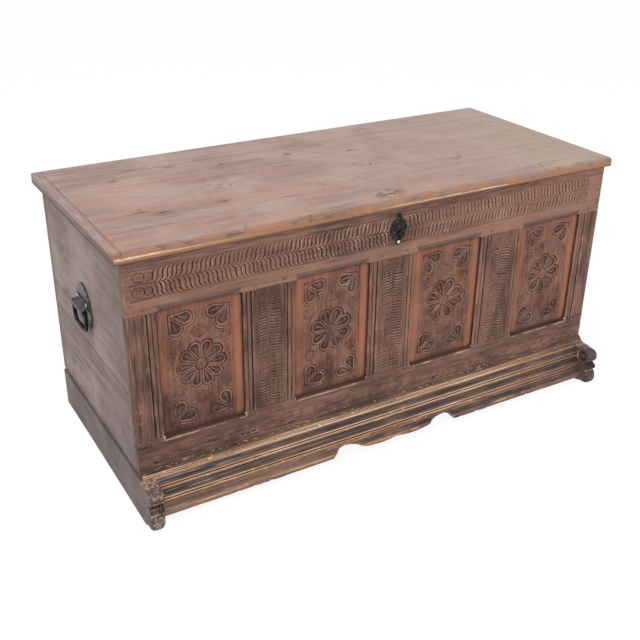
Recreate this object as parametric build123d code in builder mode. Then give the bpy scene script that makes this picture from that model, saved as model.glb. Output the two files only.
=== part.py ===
"""Panelled cassone: a framed chest on scroll-cut sledge feet, with a hinged lid and iron drop handles.

Millimetres. +X is the chest's right as one faces it, the front faces -Y, +Z is up.
The origin is on the floor under the middle of the whole chest.
"""
from build123d import *
import os

os.makedirs("parts", exist_ok=True)

# ---------------------------------------------------------------- driving dimensions
BODY_WIDTH = 1400
BODY_DEPTH = 600
CHEST_HEIGHT = 684
LID_THICKNESS = 26
SCROLL_REACH = 86  # how far the feet scroll out in front of the body
KNUCKLE_RADIUS = 7  # rolled hinge eye, which stands behind the back boards

RUNNER_HEIGHT = 111
RUNNER_THICKNESS = 36
RUNNER_PROUD = 4.5  # how far the feet stand out beyond the body, at the middle of its depth
RUNNER_SPLAY = 0.75  # degrees by which they spread towards the front
RUNNER_BACK_GAP = 10
PLINTH_CLEARANCE = 18

FRAME_THICKNESS = 30
STILE_WIDTH = 69
MUNTIN_WIDTH = 139
MUNTIN_COUNT = 3
BOTTOM_RAIL_TOP = 203
TOP_RAIL_BOTTOM = 528
PANEL_SETBACK = 9
PANEL_THICKNESS = 14
PANEL_TONGUE = 8
GROOVE_DEPTH = 9
TENON_THICKNESS = 12
TENON_LENGTH = 35
CHAMFER_SIZE = 11

SIDE_THICKNESS = 24
SIDE_JOINT = 321  # level of the joint between the two boards of each side
BACK_THICKNESS = 20
BACK_JOINT = 396
FLOOR_THICKNESS = 18
FLOOR_BOARDS = 3

LID_SIDE_OVERHANG = 20
LID_FRONT_OVERHANG = 6
LID_BACK_OVERHANG = 10  # covers the hinge eyes
LID_BOARD_WIDTH = 509  # the wide front board of the lid
LID_END_STRIP = 22
LID_CORNER_RADIUS = 6
LID_EDGE_RUN = 13
LID_EDGE_DROP = 18
LID_END_ARRIS = 3  # the left end strip is only eased along its top

LOCK_X = 9  # the lock sits a little right of the middle
KEYHOLE_LEVEL = 596
HINGE_X = 430
HANDLE_LEVEL = 426  # height of the handles' pivots
HANDLE_SETBACK = 12  # the handles sit a little behind the middle of the ends

# ---------------------------------------------------------------- planes that follow from them
SIDE = BODY_WIDTH / 2
FRONT = -(BODY_DEPTH + 2 * KNUCKLE_RADIUS - SCROLL_REACH) / 2
BACK = FRONT + BODY_DEPTH
CASE_TOP = CHEST_HEIGHT - LID_THICKNESS
FRAME_BACK = FRONT + FRAME_THICKNESS
PANEL_FACE = FRONT + PANEL_SETBACK
TENON_MIDDLE = FRONT + FRAME_THICKNESS / 2
PANEL_WIDTH = (BODY_WIDTH - 2 * STILE_WIDTH - MUNTIN_COUNT * MUNTIN_WIDTH) / (MUNTIN_COUNT + 1)
BAY_PITCH = PANEL_WIDTH + MUNTIN_WIDTH
PANEL_CENTRES = [(bay - MUNTIN_COUNT / 2) * BAY_PITCH for bay in range(MUNTIN_COUNT + 1)]
MUNTIN_CENTRES = [(bay - (MUNTIN_COUNT - 1) / 2) * BAY_PITCH for bay in range(MUNTIN_COUNT)]
FRAME_OPENING = TOP_RAIL_BOTTOM - BOTTOM_RAIL_TOP
FRAME_MIDDLE = (BOTTOM_RAIL_TOP + TOP_RAIL_BOTTOM) / 2
PLINTH_REACH = SIDE - RUNNER_THICKNESS / 2  # the plinth's blanks run into the feet and are cut to fit
SIDE_INSIDE = SIDE - SIDE_THICKNESS
BACK_INSIDE = BACK - BACK_THICKNESS
HANDLE_Y = (FRONT + BACK) / 2 + HANDLE_SETBACK

front_plane = Plane.XZ.offset(-FRONT)  # local x is X, local y is Z, the normal points out of the front
frame_back_plane = Plane(origin=(0, FRAME_BACK, 0), x_dir=(-1, 0, 0), z_dir=(0, 1, 0))
back_plane = Plane(origin=(0, BACK, 0), x_dir=(-1, 0, 0), z_dir=(0, 1, 0))
left_plane = Plane(origin=(-SIDE, HANDLE_Y, 0), x_dir=(0, -1, 0), z_dir=(-1, 0, 0))
runner_plane = Plane.YZ.offset(-SIDE - RUNNER_PROUD).rotated((0, 0, -RUNNER_SPLAY))
lid_underside = Plane(origin=(0, 0, CASE_TOP), x_dir=(1, 0, 0), z_dir=(0, 0, -1))


def save(piece, name):
    """Label a finished piece and write it as its own file."""
    piece.part.label = name
    export_step(piece.part, f"parts/{name}.step")


def board(x_span, y_span, z_span):
    """A plain squared board between two values of x, y and z."""
    with BuildPart() as piece:
        with BuildSketch(Plane.XY.offset(z_span[0])):
            with Locations((sum(x_span) / 2, sum(y_span) / 2)):
                Rectangle(x_span[1] - x_span[0], y_span[1] - y_span[0])
        extrude(amount=z_span[1] - z_span[0])
    return piece


def mirrored(piece):
    """The same piece for the other end of the chest."""
    with BuildPart() as other:
        mirror(piece.part, about=Plane.YZ)
    return other


def forged_nails(plane, points, depth, shank=3, head=10):
    """Nails with square shanks below the plane and low four-sided heads on it."""
    with BuildPart() as nails:
        with BuildSketch(plane):
            with Locations(*points):
                Rectangle(head, head)
        extrude(amount=head / 4)
        outer_edges = nails.edges().group_by(lambda edge: plane.to_local_coords(edge.center()).Z)[-1]
        chamfer(outer_edges, length=head / 5, length2=head / 3)
        with BuildSketch(plane):
            with Locations(*points):
                Rectangle(shank, shank)
        extrude(amount=-depth)
    return nails


def ahead(distance):
    """The y of a point that stands this far in front of the body's front face."""
    return FRONT - distance


# ---------------------------------------------------------------- sledge feet
KNOB_RADIUS = 21
HEEL_RADIUS = 24
VOLUTE_RADIUS = 17
VOLUTE_EYE = 9
VOLUTE_DEPTH = 5
knob_centre = (ahead(60), RUNNER_HEIGHT - KNOB_RADIUS)
heel_centre = (ahead(SCROLL_REACH - HEEL_RADIUS), HEEL_RADIUS)

with BuildPart() as runner_left:
    with BuildSketch(runner_plane):
        with BuildLine():
            runner_end = BACK - RUNNER_BACK_GAP
            throat_below = (ahead(70), 46.6)
            beak = (ahead(81), 56)
            throat_above = (ahead(66), 69.9)
            Polyline((heel_centre[0], 0), (runner_end, 0), (runner_end, RUNNER_HEIGHT))
            Line((runner_end, RUNNER_HEIGHT), (knob_centre[0], RUNNER_HEIGHT))
            knob_front = (knob_centre[0] - KNOB_RADIUS, knob_centre[1])
            ThreePointArc((knob_centre[0], RUNNER_HEIGHT), knob_front, throat_above)
            ThreePointArc(throat_above, (ahead(76), 64), beak)
            ThreePointArc(beak, (ahead(77), 49.5), throat_below)
            heel_front = (heel_centre[0] - HEEL_RADIUS, HEEL_RADIUS)
            ThreePointArc(throat_below, heel_front, (heel_centre[0], 0))
        make_face()
    extrude(amount=RUNNER_THICKNESS)
    # the volute round the knob's eye, cut into the face that looks at the plinth
    with BuildSketch(runner_plane.offset(RUNNER_THICKNESS)):
        with Locations((ahead(52), knob_centre[1] - 2)):
            Circle(VOLUTE_RADIUS)
            Circle(VOLUTE_EYE, mode=Mode.SUBTRACT)
    extrude(amount=-VOLUTE_DEPTH, mode=Mode.SUBTRACT)
save(runner_left, "runner_left")
runner_right = mirrored(runner_left)
save(runner_right, "runner_right")

# ---------------------------------------------------------------- moulded plinth
PLINTH_BOARD_FACE = 14
PLINTH_BOARD_THICKNESS = 24
MOULDING_SPLIT = 50
MOULDING_BACK = ahead(PLINTH_BOARD_FACE)
REED_STEP = 4
REED_HEIGHT = 20
REED_REACH = 20
REED_TOP = RUNNER_HEIGHT + REED_HEIGHT
PLINTH_NAIL_X = (-660, -470, -230, 0, 230, 470, 660)

with BuildPart() as apron_bow:
    # the double-ogee bow that is cut out of the apron's lower edge, right through the plinth
    with BuildSketch(front_plane.offset(SCROLL_REACH)):
        with BuildLine():
            cusp = (0, PLINTH_CLEARANCE + 10)
            lobe_end = (104, PLINTH_CLEARANCE + 11)
            crown = (158, PLINTH_CLEARANCE + 26)
            bow_end = (197, PLINTH_CLEARANCE)
            ThreePointArc(cusp, (50, PLINTH_CLEARANCE + 3), lobe_end)
            ThreePointArc(lobe_end, (132, PLINTH_CLEARANCE + 22), crown)
            ThreePointArc(crown, (181, PLINTH_CLEARANCE + 19), bow_end)
            Polyline(bow_end, (bow_end[0], 0), (0, 0), cusp)
        make_face()
        mirror(about=Plane.YZ)
    extrude(amount=-2 * SCROLL_REACH)

with BuildPart() as plinth_nails:
    with BuildSketch(front_plane.offset(REED_REACH)):
        with Locations(*[(x, RUNNER_HEIGHT + 3) for x in PLINTH_NAIL_X]):
            Rectangle(3, 3)
    extrude(amount=-45)
save(plinth_nails, "plinth_nails")

with BuildPart() as plinth_board:
    with BuildSketch(front_plane.offset(PLINTH_BOARD_FACE)):
        with Locations((0, (RUNNER_HEIGHT + PLINTH_CLEARANCE) / 2)):
            Rectangle(2 * PLINTH_REACH, RUNNER_HEIGHT - PLINTH_CLEARANCE)
    extrude(amount=-PLINTH_BOARD_THICKNESS)
    add([apron_bow.part, runner_left.part, runner_right.part], mode=Mode.SUBTRACT)
save(plinth_board, "plinth_board")

with BuildPart() as plinth_lower_moulding:
    with BuildSketch(Plane.YZ.offset(-PLINTH_REACH)):
        with BuildLine():
            cove_top = (ahead(44), MOULDING_SPLIT)
            cove_foot = (ahead(56), 33)
            ThreePointArc(cove_top, (ahead(47), 40), cove_foot)
            Polyline(cove_foot, (ahead(56), 30), (ahead(53), PLINTH_CLEARANCE))
            Line((ahead(53), PLINTH_CLEARANCE), (MOULDING_BACK, PLINTH_CLEARANCE))
            Polyline((MOULDING_BACK, PLINTH_CLEARANCE), (MOULDING_BACK, MOULDING_SPLIT), cove_top)
        make_face()
    extrude(amount=2 * PLINTH_REACH)
    add([apron_bow.part, runner_left.part, runner_right.part], mode=Mode.SUBTRACT)
save(plinth_lower_moulding, "plinth_lower_moulding")

with BuildPart() as plinth_middle_moulding:
    with BuildSketch(Plane.YZ.offset(-PLINTH_REACH)):
        with BuildLine():
            upper_cove_top = (ahead(19), 108)
            upper_cove_foot = (ahead(30), 91)
            lower_cove_top = (ahead(31), 79)
            lower_cove_foot = (ahead(42), 63)
            Polyline((MOULDING_BACK, RUNNER_HEIGHT), (ahead(19), RUNNER_HEIGHT), upper_cove_top)
            ThreePointArc(upper_cove_top, (ahead(22), 97), upper_cove_foot)
            Polyline(upper_cove_foot, (ahead(30), 87), (ahead(33), 86), (ahead(33), 80), lower_cove_top)
            ThreePointArc(lower_cove_top, (ahead(34), 69), lower_cove_foot)
            Polyline(lower_cove_foot, (ahead(42), 59), (ahead(45), 58), (ahead(45), 52))
            Polyline((ahead(45), 52), (ahead(43), MOULDING_SPLIT), (MOULDING_BACK, MOULDING_SPLIT))
            Line((MOULDING_BACK, MOULDING_SPLIT), (MOULDING_BACK, RUNNER_HEIGHT))
        make_face()
    extrude(amount=2 * PLINTH_REACH)
    add([runner_left.part, runner_right.part], mode=Mode.SUBTRACT)
save(plinth_middle_moulding, "plinth_middle_moulding")

with BuildPart() as plinth_reed_moulding:
    with BuildSketch(Plane.YZ.offset(-SIDE)):
        with BuildLine():
            steps = [(ahead(reed * REED_STEP), REED_TOP - reed * REED_STEP) for reed in range(4)]
            for inner, outer in zip(steps, steps[1:]):
                ThreePointArc(inner, (outer[0] + 1.2, inner[1] - 1.2), outer)
            fillet_top = REED_TOP - 14
            Polyline(steps[-1], (ahead(15), steps[-1][1]), (ahead(15), fillet_top))
            Polyline((ahead(15), fillet_top), (ahead(REED_REACH), fillet_top))
            Line((ahead(REED_REACH), fillet_top), (ahead(REED_REACH), RUNNER_HEIGHT))
            Polyline((ahead(REED_REACH), RUNNER_HEIGHT), (FRONT, RUNNER_HEIGHT), steps[0])
        make_face()
    extrude(amount=BODY_WIDTH)
    add(plinth_nails.part, mode=Mode.SUBTRACT)
save(plinth_reed_moulding, "plinth_reed_moulding")

# ---------------------------------------------------------------- tenons and pegs of the front frame
PEG_RADIUS = 4.5
PEG_PROUD = 0.5
PEG_LENGTH = 26
CORNER_PEG_LENGTH = 60
MUNTIN_PEG_OFFSET = 38
STILE_PEG_X = SIDE - 41
CORNER_PEG_X = SIDE - SIDE_THICKNESS / 2
CORNER_PEG_LEVELS = (TOP_RAIL_BOTTOM + 28, TOP_RAIL_BOTTOM + 64)
MUNTIN_TENON = MUNTIN_WIDTH - 40
STILE_TENON = 40

peg_x = [centre + side * MUNTIN_PEG_OFFSET for centre in MUNTIN_CENTRES for side in (-1, 1)]
peg_x += [-STILE_PEG_X, STILE_PEG_X]
peg_points = [(x, level) for x in peg_x for level in (BOTTOM_RAIL_TOP - 12, TOP_RAIL_BOTTOM + 12)]
corner_peg_points = [(side * CORNER_PEG_X, level) for side in (-1, 1) for level in CORNER_PEG_LEVELS]

with BuildPart() as frame_pegs:
    with BuildSketch(front_plane.offset(PEG_PROUD)):
        with Locations(*peg_points):
            RegularPolygon(PEG_RADIUS, 8)
    extrude(amount=-PEG_LENGTH)
    with BuildSketch(front_plane.offset(PEG_PROUD)):
        with Locations(*corner_peg_points):
            RegularPolygon(PEG_RADIUS, 8)
    extrude(amount=-CORNER_PEG_LENGTH)
save(frame_pegs, "frame_pegs")


def tenon_pair(centre, width):
    """The tongues at both ends of an upright, which fill mortises in the two rails."""
    with BuildPart() as tongues:
        for level, direction in ((BOTTOM_RAIL_TOP, -1), (TOP_RAIL_BOTTOM, 1)):
            with BuildSketch(Plane.XY.offset(level)):
                with Locations((centre, TENON_MIDDLE)):
                    Rectangle(width, TENON_THICKNESS)
            extrude(amount=direction * TENON_LENGTH)
    return tongues.part


muntin_tenons = [tenon_pair(centre, MUNTIN_TENON) for centre in MUNTIN_CENTRES]
stile_tenons = [tenon_pair(side * (SIDE - STILE_WIDTH / 2 + 5), STILE_TENON) for side in (-1, 1)]

with BuildPart() as panel_grooves:
    with BuildSketch(front_plane.offset(-PANEL_SETBACK)):
        with Locations(*[(centre, FRAME_MIDDLE) for centre in PANEL_CENTRES]):
            Rectangle(PANEL_WIDTH + 2 * GROOVE_DEPTH, FRAME_OPENING + 2 * GROOVE_DEPTH)
    extrude(amount=-PANEL_THICKNESS)


def stopped_chamfer(centre, edge, inward):
    """The wedge that a chamfer takes off a rail's arris in front of one panel, with sloped-out ends."""
    half = PANEL_WIDTH / 2
    with BuildPart() as wedge:
        with BuildSketch(Plane.YZ.offset(centre - half)):
            with BuildLine():
                chamfer_foot = (FRONT, edge + inward * CHAMFER_SIZE)
                Polyline((FRONT, edge), (FRONT + CHAMFER_SIZE, edge), chamfer_foot, close=True)
            make_face()
        extrude(amount=PANEL_WIDTH)
        for side in (-1, 1):
            stop = Plane(origin=(centre + side * half, FRONT, edge), z_dir=(side, 0, inward))
            split(bisect_by=stop, keep=Keep.BOTTOM)
    return wedge.part


top_chamfers = [stopped_chamfer(centre, TOP_RAIL_BOTTOM, 1) for centre in PANEL_CENTRES]
bottom_chamfers = [stopped_chamfer(centre, BOTTOM_RAIL_TOP, -1) for centre in PANEL_CENTRES]

# ---------------------------------------------------------------- front frame
KEYHOLE_RADIUS = 4.5
KEYHOLE_SLOT_WIDTH = 5
KEYHOLE_SLOT_DEPTH = 18
ESCUTCHEON_THICKNESS = 2
LOCK_PLATE_WIDTH = 120
LOCK_PLATE_SPAN = (562, 654)
LOCK_PLATE_THICKNESS = 2.5

escutcheon_nails = forged_nails(
    front_plane.offset(ESCUTCHEON_THICKNESS), [(LOCK_X, 569), (LOCK_X, 638)], depth=16, head=8
)
save(escutcheon_nails, "escutcheon_nails")

lock_plate_nail_points = [
    (-LOCK_X + side * (LOCK_PLATE_WIDTH / 2 - 7), level)
    for side in (-1, 1)
    for level in (LOCK_PLATE_SPAN[0] + 7, LOCK_PLATE_SPAN[1] - 7)
]
lock_plate_nails = forged_nails(
    frame_back_plane.offset(LOCK_PLATE_THICKNESS), lock_plate_nail_points, depth=18, head=8
)
save(lock_plate_nails, "lock_plate_nails")

with BuildPart() as keyhole:
    with BuildSketch(front_plane.offset(ESCUTCHEON_THICKNESS)):
        with Locations((LOCK_X, KEYHOLE_LEVEL)):
            Circle(KEYHOLE_RADIUS)
        with Locations((LOCK_X, KEYHOLE_LEVEL - KEYHOLE_SLOT_DEPTH / 2)):
            Rectangle(KEYHOLE_SLOT_WIDTH, KEYHOLE_SLOT_DEPTH)
    extrude(amount=-ESCUTCHEON_THICKNESS - FRAME_THICKNESS)

with BuildPart() as front_top_rail:
    with BuildSketch(front_plane):
        with Locations((0, (TOP_RAIL_BOTTOM + CASE_TOP) / 2)):
            Rectangle(BODY_WIDTH, CASE_TOP - TOP_RAIL_BOTTOM)
    extrude(amount=-FRAME_THICKNESS)
    add([*top_chamfers, panel_grooves.part], mode=Mode.SUBTRACT)
    add([*muntin_tenons, *stile_tenons, frame_pegs.part, keyhole.part], mode=Mode.SUBTRACT)
    add([escutcheon_nails.part, lock_plate_nails.part], mode=Mode.SUBTRACT)
save(front_top_rail, "front_top_rail")

with BuildPart() as front_bottom_rail:
    with BuildSketch(front_plane):
        with Locations((0, (RUNNER_HEIGHT + BOTTOM_RAIL_TOP) / 2)):
            Rectangle(BODY_WIDTH, BOTTOM_RAIL_TOP - RUNNER_HEIGHT)
    extrude(amount=-FRAME_THICKNESS)
    add([*bottom_chamfers, panel_grooves.part], mode=Mode.SUBTRACT)
    add([*muntin_tenons, *stile_tenons, frame_pegs.part, plinth_nails.part], mode=Mode.SUBTRACT)
save(front_bottom_rail, "front_bottom_rail")

REED_WIDTH = 10.5
REED_QUIRK = 4.5
REED_BAND = 24


def panelled_edge(edge, inward):
    """An upright's edge beside a panel: the groove behind, then two reeds and a quirk on the face."""
    back_of_groove = PANEL_FACE + PANEL_THICKNESS
    Polyline((edge, FRAME_BACK), (edge, back_of_groove), (edge + inward * GROOVE_DEPTH, back_of_groove))
    Line((edge + inward * GROOVE_DEPTH, back_of_groove), (edge + inward * GROOVE_DEPTH, PANEL_FACE))
    Polyline((edge + inward * GROOVE_DEPTH, PANEL_FACE), (edge, PANEL_FACE), (edge, FRONT + REED_QUIRK))
    for reed in range(2):
        start = edge + inward * reed * REED_WIDTH
        crest = (start + inward * REED_WIDTH / 2, FRONT + 0.8)
        ThreePointArc((start, FRONT + REED_QUIRK), crest, (start + inward * REED_WIDTH, FRONT + REED_QUIRK))
    field = edge + inward * REED_BAND
    reeds_end = edge + inward * 2 * REED_WIDTH
    Polyline((reeds_end, FRONT + REED_QUIRK), (field, FRONT + REED_QUIRK), (field, FRONT))


for number, centre in enumerate(MUNTIN_CENTRES, start=1):
    with BuildPart() as muntin:
        with BuildSketch(Plane.XY.offset(BOTTOM_RAIL_TOP)):
            with BuildLine():
                left_edge = centre - MUNTIN_WIDTH / 2
                right_edge = centre + MUNTIN_WIDTH / 2
                panelled_edge(left_edge, 1)
                panelled_edge(right_edge, -1)
                Line((left_edge + REED_BAND, FRONT), (right_edge - REED_BAND, FRONT))
                Line((left_edge, FRAME_BACK), (right_edge, FRAME_BACK))
            make_face()
        extrude(amount=FRAME_OPENING)
        add(muntin_tenons[number - 1])
        add(frame_pegs.part, mode=Mode.SUBTRACT)
    save(muntin, f"front_muntin_{number}")

with BuildPart() as front_stile_left:
    with BuildSketch(Plane.XY.offset(BOTTOM_RAIL_TOP)):
        with BuildLine():
            inner_edge = STILE_WIDTH - SIDE
            panelled_edge(inner_edge, -1)
            Polyline((inner_edge - REED_BAND, FRONT), (-SIDE, FRONT), (-SIDE, FRAME_BACK))
            Line((-SIDE, FRAME_BACK), (inner_edge, FRAME_BACK))
        make_face()
    extrude(amount=FRAME_OPENING)
    add(stile_tenons[0])
    add(frame_pegs.part, mode=Mode.SUBTRACT)
save(front_stile_left, "front_stile_left")
save(mirrored(front_stile_left), "front_stile_right")

for number, centre in enumerate(PANEL_CENTRES, start=1):
    with BuildPart() as panel:
        with BuildSketch(front_plane.offset(-PANEL_SETBACK)):
            with Locations((centre, FRAME_MIDDLE)):
                Rectangle(PANEL_WIDTH + 2 * PANEL_TONGUE, FRAME_OPENING + 2 * PANEL_TONGUE)
        extrude(amount=-PANEL_THICKNESS)
    save(panel, f"front_panel_{number}")

# ---------------------------------------------------------------- drop handles
PLATE_THICKNESS = 3.5
PLATE_HALF_WIDTH = 56
PLATE_HALF_HEIGHT = 64
PIVOT_REACH = 14  # from the side's face out to the bail's pivot
EYE_RADIUS = 7.5
EYE_BORE = 4.6
STRAP_HALF_WIDTH = 40
STRAP_PAD = (HANDLE_LEVEL + 14, HANDLE_LEVEL + 24)
STRAP_SHEET = 2.5
BAIL_PIN_RADIUS = 4.3
BAIL_BAR_RADIUS = 5
BAIL_GRIP_RADIUS = 6.5
BAIL_HALF_WIDTH = 47
BAIL_DROP = 50
RIVET_OFFSET = 34

pad_plane = left_plane.offset(PLATE_THICKNESS + STRAP_SHEET)
rivet_level = sum(STRAP_PAD) / 2
handle_rivets_left = forged_nails(
    pad_plane, [(side * RIVET_OFFSET, rivet_level) for side in (-1, 1)], depth=26, shank=4, head=8
)
save(handle_rivets_left, "handle_rivets_left")
save(mirrored(handle_rivets_left), "handle_rivets_right")

with BuildPart() as handle_plate_left:
    with BuildSketch(left_plane):
        with BuildLine():
            plate_top = (0, HANDLE_LEVEL + PLATE_HALF_HEIGHT)
            plate_foot = (0, HANDLE_LEVEL - PLATE_HALF_HEIGHT)
            ThreePointArc(plate_top, (PLATE_HALF_WIDTH, HANDLE_LEVEL), plate_foot)
            ThreePointArc(plate_foot, (-PLATE_HALF_WIDTH, HANDLE_LEVEL), plate_top)
        make_face()
    extrude(amount=PLATE_THICKNESS)
    add(handle_rivets_left.part, mode=Mode.SUBTRACT)
save(handle_plate_left, "handle_plate_left")
save(mirrored(handle_plate_left), "handle_plate_right")


def outward(distance):
    """The x of a point that stands this far out from the left side's face."""
    return -SIDE - distance


strap_end_plane = Plane(origin=(0, HANDLE_Y - STRAP_HALF_WIDTH, 0), x_dir=(1, 0, 0), z_dir=(0, -1, 0))
with BuildPart() as handle_strap_left:
    # a sheet nailed flat at its top, bent outwards and rolled round the bail's pin
    with BuildSketch(strap_end_plane):
        with BuildLine():
            Polyline(
                (outward(PLATE_THICKNESS), STRAP_PAD[1]),
                (outward(PLATE_THICKNESS), STRAP_PAD[0] - 2),
                (outward(PIVOT_REACH + 2.5), HANDLE_LEVEL + 3.8),
                (outward(PIVOT_REACH + 4.2), HANDLE_LEVEL + 6.2),
                (outward(PLATE_THICKNESS + STRAP_SHEET), STRAP_PAD[0]),
                (outward(PLATE_THICKNESS + STRAP_SHEET), STRAP_PAD[1]),
                close=True,
            )
        make_face()
        with Locations((outward(PIVOT_REACH), HANDLE_LEVEL)):
            Circle(EYE_RADIUS)
            Circle(EYE_BORE, mode=Mode.SUBTRACT)
    extrude(amount=-2 * STRAP_HALF_WIDTH)
    add(handle_rivets_left.part, mode=Mode.SUBTRACT)
save(handle_strap_left, "handle_strap_left")
save(mirrored(handle_strap_left), "handle_strap_right")

bail_plane = left_plane.offset(PIVOT_REACH)
grip_level = HANDLE_LEVEL - BAIL_DROP
grip_end = BAIL_HALF_WIDTH - 19
bail_arm = [  # from the top of one arm round the bend to the grip
    (BAIL_HALF_WIDTH, HANDLE_LEVEL + BAIL_BAR_RADIUS),
    (BAIL_HALF_WIDTH - 2, grip_level + 20),
    (BAIL_HALF_WIDTH - 5, grip_level + 10),
    (BAIL_HALF_WIDTH - 11, grip_level + 3),
    (grip_end, grip_level),
]
with BuildPart() as handle_bail_left:
    # a forged eight-sided bar bent to a U, with a swelling grip, closed by the pin that turns in the eye
    with BuildLine(bail_plane) as bail_line:
        Polyline(*[(-x, level) for x, level in bail_arm], *reversed(bail_arm))
    with BuildSketch(Plane(bail_line.line @ 0, x_dir=(1, 0, 0), z_dir=bail_line.line % 0)):
        RegularPolygon(BAIL_BAR_RADIUS, 8)
    sweep(transition=Transition.RIGHT)
    for side in (-1, 1):
        with BuildSketch(strap_end_plane.offset(side * grip_end - STRAP_HALF_WIDTH)):
            with Locations((outward(PIVOT_REACH), grip_level)):
                RegularPolygon(BAIL_BAR_RADIUS, 8)
        with BuildSketch(strap_end_plane.offset(-STRAP_HALF_WIDTH)):
            with Locations((outward(PIVOT_REACH), grip_level)):
                RegularPolygon(BAIL_GRIP_RADIUS, 8)
        loft(ruled=True)
    with BuildSketch(strap_end_plane.offset(BAIL_HALF_WIDTH - STRAP_HALF_WIDTH)):
        with Locations((outward(PIVOT_REACH), HANDLE_LEVEL)):
            Circle(BAIL_PIN_RADIUS)
    extrude(amount=-2 * BAIL_HALF_WIDTH)
save(handle_bail_left, "handle_bail_left")
save(mirrored(handle_bail_left), "handle_bail_right")

# ---------------------------------------------------------------- hinges
PIN_RADIUS = 3.92
KNUCKLE_BORE = 4
KNUCKLE_GAP = 0.4
MIDDLE_KNUCKLE = 12
HINGE_SHEET = 3
LEAF_WIDTH = 30
LEAF_HEIGHT = 120
STRAP_WIDTH = 30
STRAP_TIP_WIDTH = 16
STRAP_LENGTH = 290
STRAP_SLOT_PLAY = 0.5
PIN_HEAD_RADIUS = 6
PIN_HEAD = 3
hinge_axis = (BACK + KNUCKLE_RADIUS, CASE_TOP - KNUCKLE_RADIUS)  # y and z
leaf_nail_points = [
    (side * HINGE_X, hinge_axis[1] - LEAF_HEIGHT + step) for side in (-1, 1) for step in (12, 48, 84)
]
strap_nail_points = [(side * HINGE_X, -BACK + step) for side in (-1, 1) for step in (40, 110, 180, 250)]
HINGE_NAIL_DEPTH = 18

hinge_leaf_nails = forged_nails(back_plane.offset(HINGE_SHEET), leaf_nail_points, depth=HINGE_NAIL_DEPTH)
save(hinge_leaf_nails, "hinge_leaf_nails")
lid_strap_nails = forged_nails(lid_underside.offset(HINGE_SHEET), strap_nail_points, depth=HINGE_NAIL_DEPTH)
save(lid_strap_nails, "lid_strap_nails")


def hinge_eye(x_span):
    """A rolled eye round the hinge's axis between two values of x."""
    with BuildPart() as eye:
        with BuildSketch(Plane.YZ.offset(x_span[0])):
            with Locations(hinge_axis):
                RegularPolygon(KNUCKLE_RADIUS, 12)
                Circle(KNUCKLE_BORE, mode=Mode.SUBTRACT)
        extrude(amount=x_span[1] - x_span[0])
    return eye.part


def hinge_pin(x):
    """A pin with its two ends hammered over the outer knuckles."""
    with BuildPart() as pin:
        with BuildSketch(Plane.YZ.offset(x - LEAF_WIDTH / 2)):
            with Locations(hinge_axis):
                Circle(PIN_RADIUS)
        extrude(amount=LEAF_WIDTH)
        for side in (-1, 1):
            with BuildSketch(Plane.YZ.offset(x + side * LEAF_WIDTH / 2)):
                with Locations(hinge_axis):
                    RegularPolygon(PIN_HEAD_RADIUS, 8)
            extrude(amount=side * PIN_HEAD)
        chamfer(pin.edges().group_by(Axis.X)[0] + pin.edges().group_by(Axis.X)[-1], 1.5)
    return pin


outer_knuckle = (-HINGE_X - LEAF_WIDTH / 2, -HINGE_X - MIDDLE_KNUCKLE / 2 - KNUCKLE_GAP)
outer_eyes = [hinge_eye(outer_knuckle), hinge_eye([-2 * HINGE_X - x for x in reversed(outer_knuckle)])]
with BuildPart() as hinge_leaf_left:
    with BuildSketch(back_plane):
        with Locations((HINGE_X, hinge_axis[1])):
            Rectangle(LEAF_WIDTH, LEAF_HEIGHT, align=(Align.CENTER, Align.MAX))
            neck_gap = 2 * (KNUCKLE_RADIUS + KNUCKLE_GAP)
            Rectangle(MIDDLE_KNUCKLE + 2 * KNUCKLE_GAP, neck_gap, mode=Mode.SUBTRACT)
    extrude(amount=HINGE_SHEET)
    add(outer_eyes)
    add(hinge_leaf_nails.part, mode=Mode.SUBTRACT)
save(hinge_leaf_left, "hinge_leaf_left")
save(mirrored(hinge_leaf_left), "hinge_leaf_right")

middle_eye = hinge_eye((-HINGE_X - MIDDLE_KNUCKLE / 2, -HINGE_X + MIDDLE_KNUCKLE / 2))
with BuildPart() as lid_strap_left:
    with BuildSketch(lid_underside):
        with BuildLine():
            Polyline(
                (-HINGE_X - STRAP_WIDTH / 2, -BACK + 1.5),
                (-HINGE_X + STRAP_WIDTH / 2, -BACK + 1.5),
                (-HINGE_X + STRAP_TIP_WIDTH / 2, -BACK + STRAP_LENGTH - 14),
                (-HINGE_X, -BACK + STRAP_LENGTH),
                (-HINGE_X - STRAP_TIP_WIDTH / 2, -BACK + STRAP_LENGTH - 14),
                close=True,
            )
        make_face()
        with Locations((-HINGE_X, -BACK + 1.5)):
            Rectangle(MIDDLE_KNUCKLE, KNUCKLE_RADIUS + 1.5, align=(Align.CENTER, Align.MAX))
    extrude(amount=HINGE_SHEET)
    add(middle_eye)
    add(lid_strap_nails.part, mode=Mode.SUBTRACT)
save(lid_strap_left, "lid_strap_left")
save(mirrored(lid_strap_left), "lid_strap_right")

save(hinge_pin(-HINGE_X), "hinge_pin_left")
save(hinge_pin(HINGE_X), "hinge_pin_right")

# ---------------------------------------------------------------- sides, back and floor
BACK_NAIL_LEVELS = (150, 245, 350, 440, 530, 620)
back_nail_x = SIDE - SIDE_THICKNESS / 2
back_nails = forged_nails(
    back_plane, [(side * back_nail_x, level) for side in (-1, 1) for level in BACK_NAIL_LEVELS], depth=45
)
save(back_nails, "back_nails")

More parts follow.
